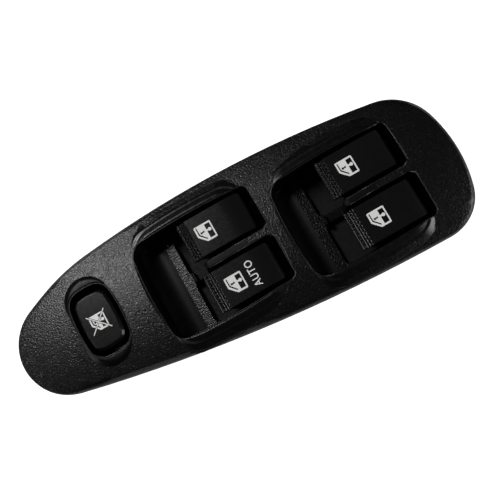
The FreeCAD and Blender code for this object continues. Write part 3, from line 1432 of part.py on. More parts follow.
def lower_cover():
    """The module's tray: floor, walls, rests for the board, snap loops, and a gap in one wall for the inlet."""
    tray = body("lower_cover")
    outline = sketch(tray)
    module_outline(outline)
    pad(tray, outline, size.joint_level)
    round_edges(tray, size.module_round, outer_corner)
    inside = sketch(tray, lift=size.cover_floor)
    module_outline(inside, size.cover_wall)
    pocket(tray, inside, size.joint_level, up=True)
    for x, y in BOARD_RESTS:
        rest = sketch(tray)
        rectangle(rest, x, y, size.rest_length, size.rest_width)
        pad(tray, rest, size.board_level)
    for x, y in CATCHES:
        away = 1 if x > 0 else -1
        root_level = size.joint_level - size.loop_root
        out = size.loop_thickness + size.catch_play
        width = size.catch_width + 2 * size.loop_side
        loop = sketch(tray, lift=root_level)
        rectangle(loop, x + away * (size.catch_play + size.loop_thickness / 2), y, size.loop_thickness, width)
        pad(tray, loop, size.loop_root + size.catch_rise + size.catch_height)
        foot = sketch(tray, lift=root_level)
        rectangle(foot, x + away * out / 2, y, out, width)
        pad(tray, foot, size.loop_root - size.catch_play)
        eye = sketch(tray, "YZ_Plane", lift=x)
        rectangle(eye, y, size.joint_level + size.catch_rise, size.catch_width + 2 * size.catch_play,
                  size.catch_height + 2 * size.catch_play)
        pocket(tray, eye, 4 * out, both_ways=True)
    gap = sketch(tray, lift=size.inlet_sill)
    gap_width = 3 * size.cover_wall
    rectangle(gap, size.inlet_x, inlet_wall_y() - size.cover_wall / 2, tongue_length(), gap_width)
    pocket(tray, gap, size.joint_level, up=True)
    return tray


def inlet_wall_y():
    """Where the middle of the connector inlet meets the outside of the module's wall."""
    share = (size.inlet_x - size.module_step_x) / (size.module_tail_x - size.module_step_x)
    return size.module_step_high_y + share * (size.module_tail_high_y - size.module_step_high_y)


def tongue_length():
    return size.inlet_length - 2 * size.inlet_wall


# Circuit board and what sits on it

def terminal_places():
    """X, row height and bend for every terminal."""
    places = []
    for n in range(TERMINALS):
        x = size.inlet_x + (n - (TERMINALS - 1) / 2) * size.terminal_pitch
        places.append((x, size.terminal_low, size.terminal_low_bend_y))
        places.append((x, size.terminal_high, size.terminal_high_bend_y))
    return places


def circuit_board():
    board = body("circuit_board", z=size.board_level)
    outline = sketch(board)
    module_outline(outline, size.cover_wall + size.board_play)
    pad(board, outline, size.board_thickness)
    holes = sketch(board)
    for x, low, bend_y in terminal_places():
        side = size.terminal_side + 2 * size.terminal_play
        rectangle(holes, x, bend_y, side, side)
    pocket(board, holes, size.board_thickness + 1, up=True)
    return board


def fixed_contacts():
    """Three flat contacts under each bridge of each slider."""
    pads = []
    for name in ROCKERS:
        x, y = rocker_place(name)
        for side in (-1, 1):
            row_y = y + side * size.bridge_offset
            for n, along in enumerate((-1, 0, 1)):
                length = 2 * size.contact_gap_start if along == 0 else size.contact_length
                middle = x + along * (size.contact_gap_start + size.contact_gap + size.contact_length / 2)
                pads.append(box(f"{name}_contact_{side + 1}{n}", middle, row_y, board_top(), length,
                                size.bridge_width, size.contact_height))
    return group("fixed_contacts", pads)


def connector_header():
    """The connector inlet: a shroud outside the wall, and a tongue that fills the wall's gap."""
    header = body("connector_header")
    wall_y = inlet_wall_y()
    shroud_back = wall_y + size.inlet_stand_off
    front = wall_y + size.inlet_reach
    outer = sketch(header, lift=size.inlet_bottom)
    rectangle(outer, size.inlet_x, (front + shroud_back) / 2, size.inlet_length, front - shroud_back)
    pad(header, outer, size.inlet_top - size.inlet_bottom)
    tongue = sketch(header, lift=size.inlet_sill)
    tongue_end = wall_y - size.tongue_reach
    rectangle(tongue, size.inlet_x, (tongue_end + shroud_back) / 2, tongue_length() - 2 * size.tongue_play,
              shroud_back - tongue_end)
    pad(header, tongue, size.inlet_top - size.inlet_sill)
    mouth = sketch(header, "XZ_Plane", lift=-front)
    low, high = size.inlet_bottom + size.inlet_wall, size.inlet_top - size.inlet_wall
    rectangle(mouth, size.inlet_x, (low + high) / 2, tongue_length(), high - low)
    pocket(header, mouth, 2 * size.inlet_depth, both_ways=True)
    pins = sketch(header, "XZ_Plane", lift=-(front - size.inlet_depth))
    for x, low, bend_y in terminal_places():
        rectangle(pins, x, low, size.terminal_side, size.terminal_side)
    pocket(header, pins, 2 * size.inlet_reach, both_ways=True)
    return header


def terminal(label, x, low, bend_y):
    """One terminal: straight out of the inlet, bent upwards into the circuit board."""
    pin = body(label, x)
    side = size.terminal_side
    tip = inlet_wall_y() + size.inlet_reach - size.inlet_depth + size.terminal_reach
    outline = sketch(pin, "YZ_Plane")
    polygon(outline, [
        (tip, low - side / 2),
        (bend_y - side / 2, low - side / 2),
        (bend_y - side / 2, board_top() + size.terminal_stand),
        (bend_y + side / 2, board_top() + size.terminal_stand),
        (bend_y + side / 2, low + side / 2),
        (tip, low + side / 2),
    ])
    pad(pin, outline, side, both_ways=True)
    return pin


def indicator_lamps():
    lamps = []
    for name in ROCKERS:
        x, y = rocker_place(name)
        lamps.append(box(f"{name}_lamp", x + size.lamp_set_back, y, board_top(), size.lamp_side, size.lamp_side,
                         size.lamp_height))
    return group("indicator_lamps", lamps)


def motor_relay():
    """The relay: a can on a slightly wider base."""
    relay = body("motor_relay", size.relay_x, size.relay_y, board_top())
    base = sketch(relay)
    rectangle(base, 0.0, 0.0, size.relay_length, size.relay_width)
    pad(relay, base, size.relay_base)
    can = sketch(relay, lift=size.relay_base)
    rectangle(can, 0.0, 0.0, size.relay_length - size.relay_base, size.relay_width - size.relay_base)
    pad(relay, can, size.relay_height - size.relay_base)
    return relay


def control_chip():
    """The controller: a flat package on a thin frame of leads."""
    chip = body("control_chip", size.relay_x, size.chip_y, board_top())
    leads = sketch(chip)
    rectangle(leads, 0.0, 0.0, size.chip_side + 2 * size.chip_lead, size.chip_side + 2 * size.chip_lead)
    pad(chip, leads, size.chip_lead_height)
    package = sketch(chip)
    rectangle(package, 0.0, 0.0, size.chip_side, size.chip_side)
    pad(chip, package, size.chip_height)
    return chip


# Fasteners

def bezel_screws():
    """Hexagon-headed screws that hold the module's ears to the bezel's bosses from below."""
    screws = []
    for n, (x, y) in enumerate(BOSSES):
        screw = body(f"bezel_screw_{n}", x, y, deck_under())
        head = sketch(screw)
        many_sided(head, 0.0, 0.0, size.head_radius, HEAD_SIDES)
        pad(screw, head, size.head_height, down=True)
        shank = sketch(screw)
        many_sided(shank, 0.0, 0.0, size.screw_radius, SHANK_SIDES)
        pad(screw, shank, size.screw_length + size.deck_thickness - 1)
        screws.append(screw)
    return group("bezel_screws", screws)


def spring_clip(label, x, y):
    """A folded sheet clip over a rib: two leaves that hold the rib, and two arms that bulge outwards."""
    clip = body(label, x, y, size.seat_level - size.clip_drop)
    half, metal = size.clip_rib / 2, size.clip_metal
    leaf = half + metal
    side = [
        (half, 0.0),
        (half, size.clip_leaf),
        (leaf, size.clip_leaf),
        (leaf, metal),
        (leaf + size.clip_bulge, size.clip_bulge_rise),
        (leaf + metal, size.clip_arm),
        (leaf + 2 * metal, size.clip_arm),
        (leaf + size.clip_bulge + metal, size.clip_bulge_rise),
        (leaf, -metal),
    ]
    profile = sketch(clip, "XZ_Plane")
    polygon(profile, side[::-1] + [(-px, pz) for px, pz in side])
    pad(clip, profile, size.clip_width, both_ways=True)
    return clip


NODES = [bezel()]
for name in ROCKERS:
    x, y = rocker_place(name)
    NODES.append(rocker(f"{name}_rocker", x, y))
    NODES.append(return_spring(f"{name}_return_spring", x, y))
    NODES.append(slider(f"{name}_slider", x, y))
    strips = []
    for side in (-1, 1):
        strips.append(contact_bridge(f"{name}_strip_{side + 1}", x, y + side * size.bridge_offset))
    NODES.append(group(f"{name}_contact_bridges", strips))
NODES += [lock_button(), lock_plunger(), latch_wire(), lock_spring(), lock_case(), housing(), lower_cover()]
NODES += [circuit_board(), fixed_contacts(), connector_header(), indicator_lamps(), motor_relay(), control_chip()]
pins = [terminal(f"terminal_{n}", *place) for n, place in enumerate(terminal_places())]
NODES += [group("connector_terminals", pins), bezel_screws()]
for name, x, y in CLIPS:
    NODES.append(spring_clip(f"{name}_clip", x, y))
doc.recompute()

faults = []
for thing in doc.Objects:
    if "Invalid" in thing.State or "Error" in thing.State:
        faults.append(f"{thing.Name}: {thing.State}")
for node in NODES:
    if node.Shape.isNull() or not node.Shape.isValid():
        faults.append(f"{node.Label}: no valid shape")
if max(corner.Z for corner in NODES[0].Shape.Vertexes) > float(size.crown_top) + 1:
    faults.append("bezel: the crown wasn't cut")
if faults:
    raise RuntimeError("; ".join(faults))
os.makedirs("parts", exist_ok=True)
for node in NODES:
    node.Shape.exportStep(f"parts/{node.Label}.step")
    print(node.Label, len(node.Shape.Solids), round(node.Shape.Volume, 1))
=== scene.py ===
import math

import bmesh
import bpy
import numpy as np
from mathutils import Matrix, Vector


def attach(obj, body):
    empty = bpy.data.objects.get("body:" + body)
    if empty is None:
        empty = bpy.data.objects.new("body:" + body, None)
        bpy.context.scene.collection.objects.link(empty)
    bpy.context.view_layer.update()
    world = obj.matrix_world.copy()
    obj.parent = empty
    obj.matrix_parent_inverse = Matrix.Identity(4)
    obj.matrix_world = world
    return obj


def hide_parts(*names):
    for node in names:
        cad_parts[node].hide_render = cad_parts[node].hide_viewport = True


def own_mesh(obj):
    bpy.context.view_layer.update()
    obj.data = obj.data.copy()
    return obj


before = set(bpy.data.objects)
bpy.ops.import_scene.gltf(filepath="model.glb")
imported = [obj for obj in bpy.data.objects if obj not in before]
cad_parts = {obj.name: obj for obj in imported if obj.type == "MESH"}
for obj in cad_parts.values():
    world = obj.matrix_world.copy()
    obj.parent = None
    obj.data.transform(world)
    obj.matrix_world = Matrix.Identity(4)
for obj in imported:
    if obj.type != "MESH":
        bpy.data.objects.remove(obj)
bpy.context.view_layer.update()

MM = 0.001

# Sizes shared with the solids, in millimetres.
FACE_LEVEL = 46.5
BUTTON_LEVEL = 46.0
ROCKERS = {
    "front_left": (1.7, -9.8),
    "front_right": (1.7, 15.5),
    "rear_left": (67.45, -16.35),
    "rear_right": (67.45, 8.95),
}
# Each well's middle, where its rockers' openings start from there, and how steeply its landing rises to them.
WELLS = {"front": (-12.0, 2.85, -11.0, 0.08), "rear": (53.75, -3.7, -13.4, -0.05)}
WELL_HALF_WIDTH, SCOOP_TOP = 26.0, 33.5
LANDING_LENGTH, LANDING_LEVEL, LANDING_OVERLAP = 5.3, 30.35, 0.6
GUARD_HALF_LENGTH, GUARD_HALF_WIDTH = 29.6, 30.2
GUARD_END_BEND, GUARD_LONG_BEND = 330.0, 210.0
GUARD_FOOT = 42.5
BAR_START, BAR_END, BAR_HALF_WIDTH = -5.0, 28.0, 1.45
LOCK_MIDDLE, LOCK_TRAVEL = (-65.6, 5.5), 3.0
LOCK_GUARD_HALF_LENGTH, LOCK_GUARD_HALF_WIDTH = 11.5, 20.0
LOCK_GUARD_END_BEND, LOCK_GUARD_LONG_BEND = 120.0, 40.0
STRAIGHT = 1e6
CROWN_TOP, CROWN_MIDDLE_Y, CROWN_TURN = 46.0, 1.4, math.radians(-3.66)
CROSS_BEND, LONG_BEND, END_BEND = 170.0, 6000.0, 500.0
NOSE_BEND_START, TAIL_BEND_START = -45.0, 75.0


# Materials

MIX_FIRST, MIX_SECOND, MIX_RESULT = 6, 7, 2
TINT_CLOUD_MM = 35.0


def linear(hex_colour):
    """An sRGB hex colour as linear values with alpha."""
    parts = [int(hex_colour[n:n + 2], 16) / 255 for n in (1, 3, 5)]
    return [p / 12.92 if p <= 0.04045 else ((p + 0.055) / 1.055) ** 2.4 for p in parts] + [1.0]


def node(tree, kind, settings=None, links=None, **properties):
    """Add a shader node. settings gives values of its inputs, links joins inputs to other nodes' outputs."""
    made = tree.nodes.new(kind)
    for name, value in properties.items():
        setattr(made, name, value)
    for name, value in (settings or {}).items():
        made.inputs[name].default_value = value
    for name, (source, output) in (links or {}).items():
        tree.links.new(source.outputs[output], made.inputs[name])
    return made


def material(name):
    """A new material with its node tree, its shader and the node that gives places on the piece."""
    made = bpy.data.materials.new(name)
    made.use_nodes = True
    tree = made.node_tree
    shader = tree.nodes["Principled BSDF"]
    place = node(tree, "ShaderNodeTexCoord")
    return made, tree, shader, place


def per_metre(size_mm):
    """The scale of a noise whose features are about so many millimetres."""
    return 1000 / size_mm


def moulded(name, colour, light, grain_mm, grain_depth_mm, roughness, spread, specular=0.5, edge_mm=0.0):
    """An injection-moulded plastic: its colour drifts slightly between two values, and the eroded grain of the
    mould shows as fine bumps that break up the gloss. With edge_mm, sharp edges shade as if worn round by that
    radius."""
    made, tree, shader, place = material(name)
    cloud = node(tree, "ShaderNodeTexNoise", {"Scale": per_metre(TINT_CLOUD_MM), "Detail": 3.0},
                 {"Vector": (place, "Object")})
    drift = node(tree, "ShaderNodeMapRange", {"From Min": 0.35, "From Max": 0.65}, {"Value": (cloud, "Fac")})
    tint = node(tree, "ShaderNodeMix", {MIX_FIRST: linear(colour), MIX_SECOND: linear(light)},
                {0: (drift, 0)}, data_type="RGBA")
    grain = node(tree, "ShaderNodeTexNoise", {"Scale": per_metre(grain_mm), "Detail": 1.0, "Roughness": 0.5},
                 {"Vector": (place, "Object")})
    gloss = node(tree, "ShaderNodeMapRange", {"From Min": 0.3, "From Max": 0.7, "To Min": roughness - spread,
                                              "To Max": roughness + spread}, {"Value": (grain, "Fac")})
    bump = node(tree, "ShaderNodeBump", {"Strength": 1.0, "Distance": grain_depth_mm * MM},
                {"Height": (grain, "Fac")})
    if edge_mm:
        worn = node(tree, "ShaderNodeBevel", {"Radius": edge_mm * MM}, samples=8)
        tree.links.new(worn.outputs["Normal"], bump.inputs["Normal"])
    tree.links.new(tint.outputs[MIX_RESULT], shader.inputs["Base Color"])
    tree.links.new(gloss.outputs[0], shader.inputs["Roughness"])
    tree.links.new(bump.outputs[0], shader.inputs["Normal"])
    shader.inputs["Specular IOR Level"].default_value = specular
    return made


def metal(name, colour, light, roughness, grain_mm, stretch):
    """A plated or drawn metal, with streaks along X that are stretch times as long as they are wide."""
    made, tree, shader, place = material(name)
    turned = node(tree, "ShaderNodeMapping", {"Scale": (1 / stretch, 1.0, 1.0)}, {"Vector": (place, "Object")})
    streak = node(tree, "ShaderNodeTexNoise", {"Scale": per_metre(grain_mm), "Detail": 3.0},
                  {"Vector": (turned, "Vector")})
    drift = node(tree, "ShaderNodeMapRange", {"From Min": 0.3, "From Max": 0.7}, {"Value": (streak, "Fac")})
    tint = node(tree, "ShaderNodeMix", {MIX_FIRST: linear(colour), MIX_SECOND: linear(light)},
                {0: (drift, 0)}, data_type="RGBA")
    gloss = node(tree, "ShaderNodeMapRange", {"From Min": 0.3, "From Max": 0.7, "To Min": roughness * 0.8,
                                              "To Max": roughness * 1.2}, {"Value": (streak, "Fac")})
    bump = node(tree, "ShaderNodeBump", {"Strength": 0.5, "Distance": 0.01 * MM}, {"Height": (streak, "Fac")})
    tree.links.new(tint.outputs[MIX_RESULT], shader.inputs["Base Color"])
    tree.links.new(gloss.outputs[0], shader.inputs["Roughness"])
    tree.links.new(bump.outputs[0], shader.inputs["Normal"])
    shader.inputs["Metallic"].default_value = 1.0
    return made


# Black ABS out of an eroded mould: a leather-fine grain that glitters in grey points where the light grazes it.
bezel_abs = moulded("grained_black_abs", "#060607", "#08080a", 0.65, 0.19, 0.31, 0.05, 0.42, 0.6)
# The same plastic where the mould was polished, on the guards: black, and bright only on its edges.
polished_abs = moulded("polished_black_abs", "#060607", "#08080a", 2.5, 0.003, 0.27, 0.03, 0.5, 0.8)
# The same inside the wells, on the bars and on the lock button's guard, a little darker and dull: a painted
# shade that keeps them black.
well_shade_abs = moulded("shade_darkened_black_abs", "#050506", "#060607", 1.2, 0.004, 0.36, 0.05, 0.15, 0.8)
# The same on the rims' lips, a little lighter: a painted highlight along the bead, with a soft gloss that
# spreads along it.
lip_highlight_abs = moulded("lip_highlight_black_abs", "#09090a", "#0c0c0d", 1.5, 0.003, 0.34, 0.04)
# Black ABS out of a satin mould: almost no grain, so the keys show soft reflections and thin lines of light
# on their edges. The lock button's is a little darker and less shiny.
rocker_abs = moulded("satin_black_abs", "#0f0f10", "#111112", 0.6, 0.003, 0.22, 0.03)
button_abs = moulded("satin_grey_black_abs", "#0b0b0c", "#0e0e0f", 0.6, 0.003, 0.22, 0.03, 0.3)
# Closed-cell foam: black and quite dull, with its cells as fine pits.
black_foam = moulded("black_closed_cell_foam", "#090909", "#0d0d0d", 0.5, 0.05, 0.9, 0.05, 0.1)
# Glass-filled nylon: dull, with a coarse mottle from the fibres at the surface.
housing_nylon = moulded("glass_filled_black_nylon", "#070708", "#0a0a0b", 1.6, 0.02, 0.62, 0.08, 0.25)
# Polypropylene: dark grey and waxy, so the cover stands out from the housing above it.
cover_polypropylene = moulded("dark_grey_polypropylene", "#232324", "#2a2a2b", 1.2, 0.015, 0.5, 0.06)
# Unpainted nylon and acetal: creamy white and a little glossy, so the inlet and sliders show as plain mouldings.
header_nylon = moulded("natural_white_nylon", "#bdb8a8", "#c9c4b4", 1.0, 0.01, 0.42, 0.05)
acetal = moulded("natural_white_acetal", "#cfccc0", "#dad7cc", 0.9, 0.006, 0.35, 0.04)
# The same acetal in black: a dull gloss for the small case under the lock button.
case_acetal = moulded("black_acetal", "#19191a", "#1f1f20", 0.9, 0.008, 0.4, 0.05)
# Solder mask over glass laminate: a deep green gloss with the weave just showing.
board_laminate = moulded("green_solder_mask", "#0e4a2a", "#125833", 0.5, 0.01, 0.3, 0.06)
# The parts on the board: a smooth dark can, a dull chip and lamps of milky resin that look wet.
relay_case = moulded("black_relay_polyester", "#151516", "#1b1b1c", 0.8, 0.006, 0.4, 0.05)
chip_epoxy = moulded("black_moulding_compound", "#1a1a1c", "#222224", 0.3, 0.01, 0.62, 0.06)
lamp_epoxy = moulded("milky_lamp_epoxy", "#d9d3b6", "#e6e1c8", 0.5, 0.004, 0.2, 0.04)
# Pad printing ink: plain white and matt, with hardly any texture, so the symbols stand out.
white_ink = moulded("white_pad_print_ink", "#eeeeec", "#f6f6f4", 0.25, 0.004, 0.5, 0.05)
# Plated and drawn metals: zinc is bright and cloudy, phosphated steel nearly black with a dull sheen, spring
# wire bright with fine lines along it, tin silvery, and the gold flash on the contacts warm yellow.
zinc_steel = metal("zinc_plated_steel", "#9ea3a6", "#b4b8ba", 0.32, 0.5, 1.0)
phosphated_steel = metal("phosphated_spring_steel", "#3b3a39", "#4a4947", 0.5, 0.4, 6.0)
bright_steel = metal("bright_spring_steel", "#a3a4a4", "#bcbdbd", 0.25, 0.4, 6.0)
tinned_brass = metal("tinned_brass", "#b7b8b6", "#c6c7c5", 0.3, 0.3, 4.0)
gold_flash = metal("gold_flashed_copper", "#c19a4e", "#d0ab60", 0.28, 0.3, 3.0)

FINISHES = {
    "switch_housing": housing_nylon,
    "lower_cover": cover_polypropylene,
    "circuit_board": board_laminate,
    "fixed_contacts": gold_flash,
    "connector_header": header_nylon,
    "connector_terminals": tinned_brass,
    "indicator_lamps": lamp_epoxy,
    "motor_relay": relay_case,
    "control_chip": chip_epoxy,
    "bezel_screws": zinc_steel,
    "nose_clip": phosphated_steel,
    "tail_clip": phosphated_steel,
    "lock_switch_case": case_acetal,
    "lock_plunger": acetal,
    "lock_latch_wire": bright_steel,
}
for name in ROCKERS:
    FINISHES[f"{name}_return_spring"] = bright_steel
    FINISHES[f"{name}_slider"] = acetal
    FINISHES[f"{name}_contact_bridges"] = gold_flash


def dress(mesh, *finishes):
    """Give a mesh its finishes, in place of those it came with."""
    mesh.materials.clear()
    for finish in finishes:
        mesh.materials.append(finish)


for name, finish in FINISHES.items():
    dress(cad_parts[name].data, finish)


# Skins: the solids' own meshes, joined up so that curved faces shade smoothly and edges can be rounded

JOIN_DISTANCE, FLAT_DEGREES, BEVEL_DEGREES, FLAT_FACE_WEIGHT = 0.002, 0.3, 30, 90
ROCKER_ROUNDING, BUTTON_ROUNDING = (0.45, 3), (0.3, 2)


def corner_array(mesh):
    """The corners of a mesh in millimetres."""
    flat = np.empty(len(mesh.vertices) * 3)
    mesh.vertices.foreach_get("co", flat)
    return flat.reshape(-1, 3) / MM


def add_piece(name, data):
    """A new object in the scene that holds a mesh, curve, light or camera."""
    piece = bpy.data.objects.new(name, data)
    bpy.context.scene.collection.objects.link(piece)
    return piece


def add_surface(name, corners, faces, smooth):
    """A new object with a mesh of corners in millimetres and faces."""
    mesh = bpy.data.meshes.new(name)
    mesh.from_pydata((corners * MM).tolist(), [], faces)
    mesh.polygons.foreach_set("use_smooth", [smooth] * len(mesh.polygons))
    return add_piece(name, mesh)


def inside(corners, middle, half_length, half_width, end_bend, long_bend):
    """Which corners lie inside an outline with bowed sides: |dx| < half_length - dy^2 / (2 end_bend), and the
    same across it with half_width and long_bend."""
    dx, dy = corners[:, 0] - middle[0], corners[:, 1] - middle[1]
    return ((np.abs(dx) < half_length - dy ** 2 / (2 * end_bend))
            & (np.abs(dy) < half_width - dx ** 2 / (2 * long_bend)))


def at_landing(corners, x, y, start, before, after):
    """How far along a well's landing each corner lies, and which corners are on it or at most so far before or
    after it, on the floor of the well."""
    along = corners[:, 0] - (x + start - LANDING_LENGTH)
    on_it = ((along > -before) & (along < LANDING_LENGTH + after)
             & (np.abs(corners[:, 1] - y) < WELL_HALF_WIDTH) & (corners[:, 2] < SCOOP_TOP))
    return along, on_it


def level_landings(mesh):
    """Lay the landing in front of the rockers flatter: from LANDING_LENGTH before the openings up to their
    front edge, and LANDING_OVERLAP past it, its level is LANDING_LEVEL + slope * distance."""
    corners = corner_array(mesh)
    for x, y, start, slope in WELLS.values():
        along, near = at_landing(corners, x, y, start, 0.0, LANDING_OVERLAP)
        wanted = LANDING_LEVEL + slope * along
        lower = near & (corners[:, 2] > wanted)
        corners[lower, 2] = wanted[lower]
    mesh.vertices.foreach_set("co", (corners * MM).ravel())


def crown_level(corners):
    """The height of the bezel's crown at each corner: CROWN_TOP less an arc of CROSS_BEND across the crown line
    and an arc of LONG_BEND along it. Only the stretch between the bends at its ends counts."""
    x, y = corners[:, 0], corners[:, 1] - CROWN_MIDDLE_Y
    along = x * math.cos(CROWN_TURN) + y * math.sin(CROWN_TURN)
    across = y * math.cos(CROWN_TURN) - x * math.sin(CROWN_TURN)
    past = np.clip(NOSE_BEND_START - along, 0, None) + np.clip(along - TAIL_BEND_START, 0, None)
    return (CROWN_TOP - (CROSS_BEND - np.sqrt(CROSS_BEND ** 2 - across ** 2)) - along ** 2 / (2 * LONG_BEND)
            - past ** 2 / (2 * END_BEND))


GRAINED, POLISHED, SHADE_DARKENED = 0, 1, 2
BEZEL_FINISHES = (bezel_abs, polished_abs, well_shade_abs)
SMOOTH_DEGREES = {GRAINED: 50, POLISHED: 14, SHADE_DARKENED: 40}
KEY_SMOOTH_DEGREES = {0: 30}
CROWN_TOLERANCE, EDGE_MARGIN, LANDING_MARGIN, BAR_MARGIN = 0.15, 2.0, 0.3, 0.2
CROWN_RISE, GUARD_RISE = 0.9, 0.5


def face_finishes(mesh):
    """The finish of each face of the bezel. Grained are the crown, the edge and the landings in the wells,
    polished the wells' guards and rims, and darker and dull, as painted shade, the wells' insides, the bars and
    the lock button's guard."""
    corners = corner_array(mesh)
    on_crown = np.abs(corners[:, 2] - crown_level(corners)) < CROWN_TOLERANCE
    held = corners[:, 2] < GUARD_FOOT - EDGE_MARGIN
    landing = np.zeros(len(corners), bool)
    shade_darkened = inside(corners, LOCK_MIDDLE, LOCK_GUARD_HALF_LENGTH + EDGE_MARGIN,
                   LOCK_GUARD_HALF_WIDTH + EDGE_MARGIN + 1, LOCK_GUARD_END_BEND, LOCK_GUARD_LONG_BEND)
    held |= shade_darkened
    for x, y, start, _ in WELLS.values():
        held |= inside(corners, (x, y), GUARD_HALF_LENGTH + EDGE_MARGIN, GUARD_HALF_WIDTH + EDGE_MARGIN,
                       GUARD_END_BEND, GUARD_LONG_BEND)
        landing |= at_landing(corners, x, y, start, LANDING_MARGIN, LANDING_MARGIN)[1]
        shade_darkened |= ((np.abs(corners[:, 1] - y) < BAR_HALF_WIDTH + BAR_MARGIN)
                  & (corners[:, 0] > x + BAR_START) & (corners[:, 0] < x + BAR_END))
    # Walls, deep faces, the bars and the lock button's guard get the darker, dull black of painted shade.
    found = []
    for face in mesh.polygons:
        ring = np.array(face.vertices)
        crown = on_crown[ring].all() and face.normal.z > CROWN_RISE
        deep = corners[ring, 2].mean() < GUARD_FOOT - EDGE_MARGIN
        if crown or not held[ring].all() or landing[ring].all():
            found.append(GRAINED)
        elif face.normal.z < GUARD_RISE or deep or shade_darkened[ring].all():
            found.append(SHADE_DARKENED)
        else:
            found.append(POLISHED)
    return found


def merged_copy(cad_node):
    """A copy of a CAD node's mesh with its triangles joined."""
    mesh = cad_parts[cad_node].data.copy()
    work = bmesh.new()
    work.from_mesh(mesh)
    bmesh.ops.remove_doubles(work, verts=work.verts, dist=JOIN_DISTANCE * MM)
    work.to_mesh(mesh)
    work.free()
    return mesh


def skin(cad_node, body, slot, mesh, smooth_degrees, bevel_mm=0.0, segments=0):
    """Make a merged mesh the skin of a CAD node: flat faces whole, edges sharper than their finish's limit in
    smooth_degrees kept sharp or, with bevel_mm, rounded by that much in so many segments."""
    work = bmesh.new()
    work.from_mesh(mesh)
    bmesh.ops.dissolve_limit(work, angle_limit=math.radians(FLAT_DEGREES), verts=work.verts, edges=work.edges,
                             delimit={"MATERIAL"})
    for face in work.faces:
        face.smooth = True
    for edge in work.edges:
        meeting = {face.material_index for face in edge.link_faces}
        limit = min(smooth_degrees[n] for n in meeting)
        bent = len(edge.link_faces) == 2 and edge.calc_face_angle(0.0) > math.radians(limit)
        edge.smooth = not (bent or len(meeting) > 1)
    work.to_mesh(mesh)
    work.free()
    piece = add_piece(f"{cad_node}_skin", mesh)
    if bevel_mm:
        bevel = piece.modifiers.new("edge_rounding", "BEVEL")
        bevel.width = bevel_mm * MM
        bevel.segments = segments
        bevel.limit_method = "ANGLE"
        bevel.angle_limit = math.radians(BEVEL_DEGREES)
        bevel.harden_normals = True
        bevel.use_clamp_overlap = True
    else:
        weighted = piece.modifiers.new("flat_faces_first", "WEIGHTED_NORMAL")
        weighted.keep_sharp = True
        weighted.weight = FLAT_FACE_WEIGHT
    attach(piece, body)
    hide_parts(cad_node)


bezel_mesh = merged_copy("bezel")
level_landings(bezel_mesh)
dress(bezel_mesh, *BEZEL_FINISHES)
bezel_mesh.polygons.foreach_set("material_index", face_finishes(bezel_mesh))
skin("bezel", "base", "bezel_plastic", bezel_mesh, SMOOTH_DEGREES)
for name in ROCKERS:
    rocker_mesh = merged_copy(f"{name}_rocker")
    dress(rocker_mesh, rocker_abs)
    skin(f"{name}_rocker", f"{name}_key", "rocker_plastic", rocker_mesh, KEY_SMOOTH_DEGREES, *ROCKER_ROUNDING)
button_mesh = merged_copy("window_lock_button")
dress(button_mesh, button_abs)
skin("window_lock_button", "lock_key", "button_plastic", button_mesh, KEY_SMOOTH_DEGREES, *BUTTON_ROUNDING)


# Lips: a fine rounded bead along the rims of the wells, bars and lock opening, where the light draws a line

LIP_RADIUS, LIP_DROP, LIP_FOOT, LIP_SIDES = 0.32, 0.18, 43.8, 8
WALL_RISE, TOP_RISE = 0.35, 0.6


def rim_chains(mesh):
    """Runs of corners along the edges above LIP_FOOT where a wall, whose normal rises less than WALL_RISE, meets
    a top, whose normal rises more than TOP_RISE. Each is an array of corners in millimetres with a flag that
    says whether it closes on itself."""
    work = bmesh.new()
    work.from_mesh(mesh)
    joined = {}
    for edge in work.edges:
        rises = sorted(face.normal.z for face in edge.link_faces)
        rim = len(rises) == 2 and rises[0] < WALL_RISE and rises[1] > TOP_RISE
        if rim and min(corner.co.z for corner in edge.verts) > LIP_FOOT * MM:
            a, b = (corner.index for corner in edge.verts)
            joined.setdefault(a, []).append(b)
            joined.setdefault(b, []).append(a)
    work.free()
    corners = corner_array(mesh)
    chains, used = [], set()
    for first in sorted(joined, key=lambda n: (len(joined[n]) == 2, n)):
        for second in joined[first]:
            if frozenset((first, second)) in used:
                continue
            used.add(frozenset((first, second)))
            run = [first, second]
            while len(joined[run[-1]]) == 2 and run[-1] != first:
                onward = [n for n in joined[run[-1]] if n != run[-2]]
                if not onward or frozenset((run[-1], onward[0])) in used:
                    break
                used.add(frozenset((run[-1], onward[0])))
                run.append(onward[0])
            closed = run[-1] == first
            chains.append((corners[run[:-1] if closed else run], closed))
    return [chain for chain in chains if len(chain[0]) > 2]


def bead(points, closed):
    """A round bead along a path: at each point, LIP_DROP below it, a ring of LIP_RADIUS (cos a s + sin a z),
    with s level and square to the path. Returns corners and faces."""
    centres = points - np.array([0.0, 0.0, LIP_DROP])
    if closed:
        ahead, behind = np.roll(centres, -1, 0), np.roll(centres, 1, 0)
    else:
        ahead, behind = np.vstack([centres[1:], centres[-1:]]), np.vstack([centres[:1], centres[:-1]])
    run = ahead - behind
    side = np.stack([run[:, 1], -run[:, 0], np.zeros(len(run))], -1)
    side /= np.maximum(np.linalg.norm(side, axis=1, keepdims=True), 1e-9)
    a = np.arange(LIP_SIDES) * 2 * np.pi / LIP_SIDES
    rings = centres[:, None, :] + LIP_RADIUS * (np.cos(a)[None, :, None] * side[:, None, :]
                                                + np.sin(a)[None, :, None] * np.array([0.0, 0.0, 1.0]))
    count = len(points)
    k, m = np.meshgrid(np.arange(count if closed else count - 1), np.arange(LIP_SIDES), indexing="ij")
    here, onward, beside = k * LIP_SIDES, (k + 1) % count * LIP_SIDES, (m + 1) % LIP_SIDES
    faces = np.stack([here + m, onward + m, onward + beside, here + beside], -1).reshape(-1, 4).tolist()
    if not closed:
        last = (count - 1) * LIP_SIDES
        faces += [list(range(LIP_SIDES)), list(range(last + LIP_SIDES - 1, last - 1, -1))]
    return rings.reshape(-1, 3), faces


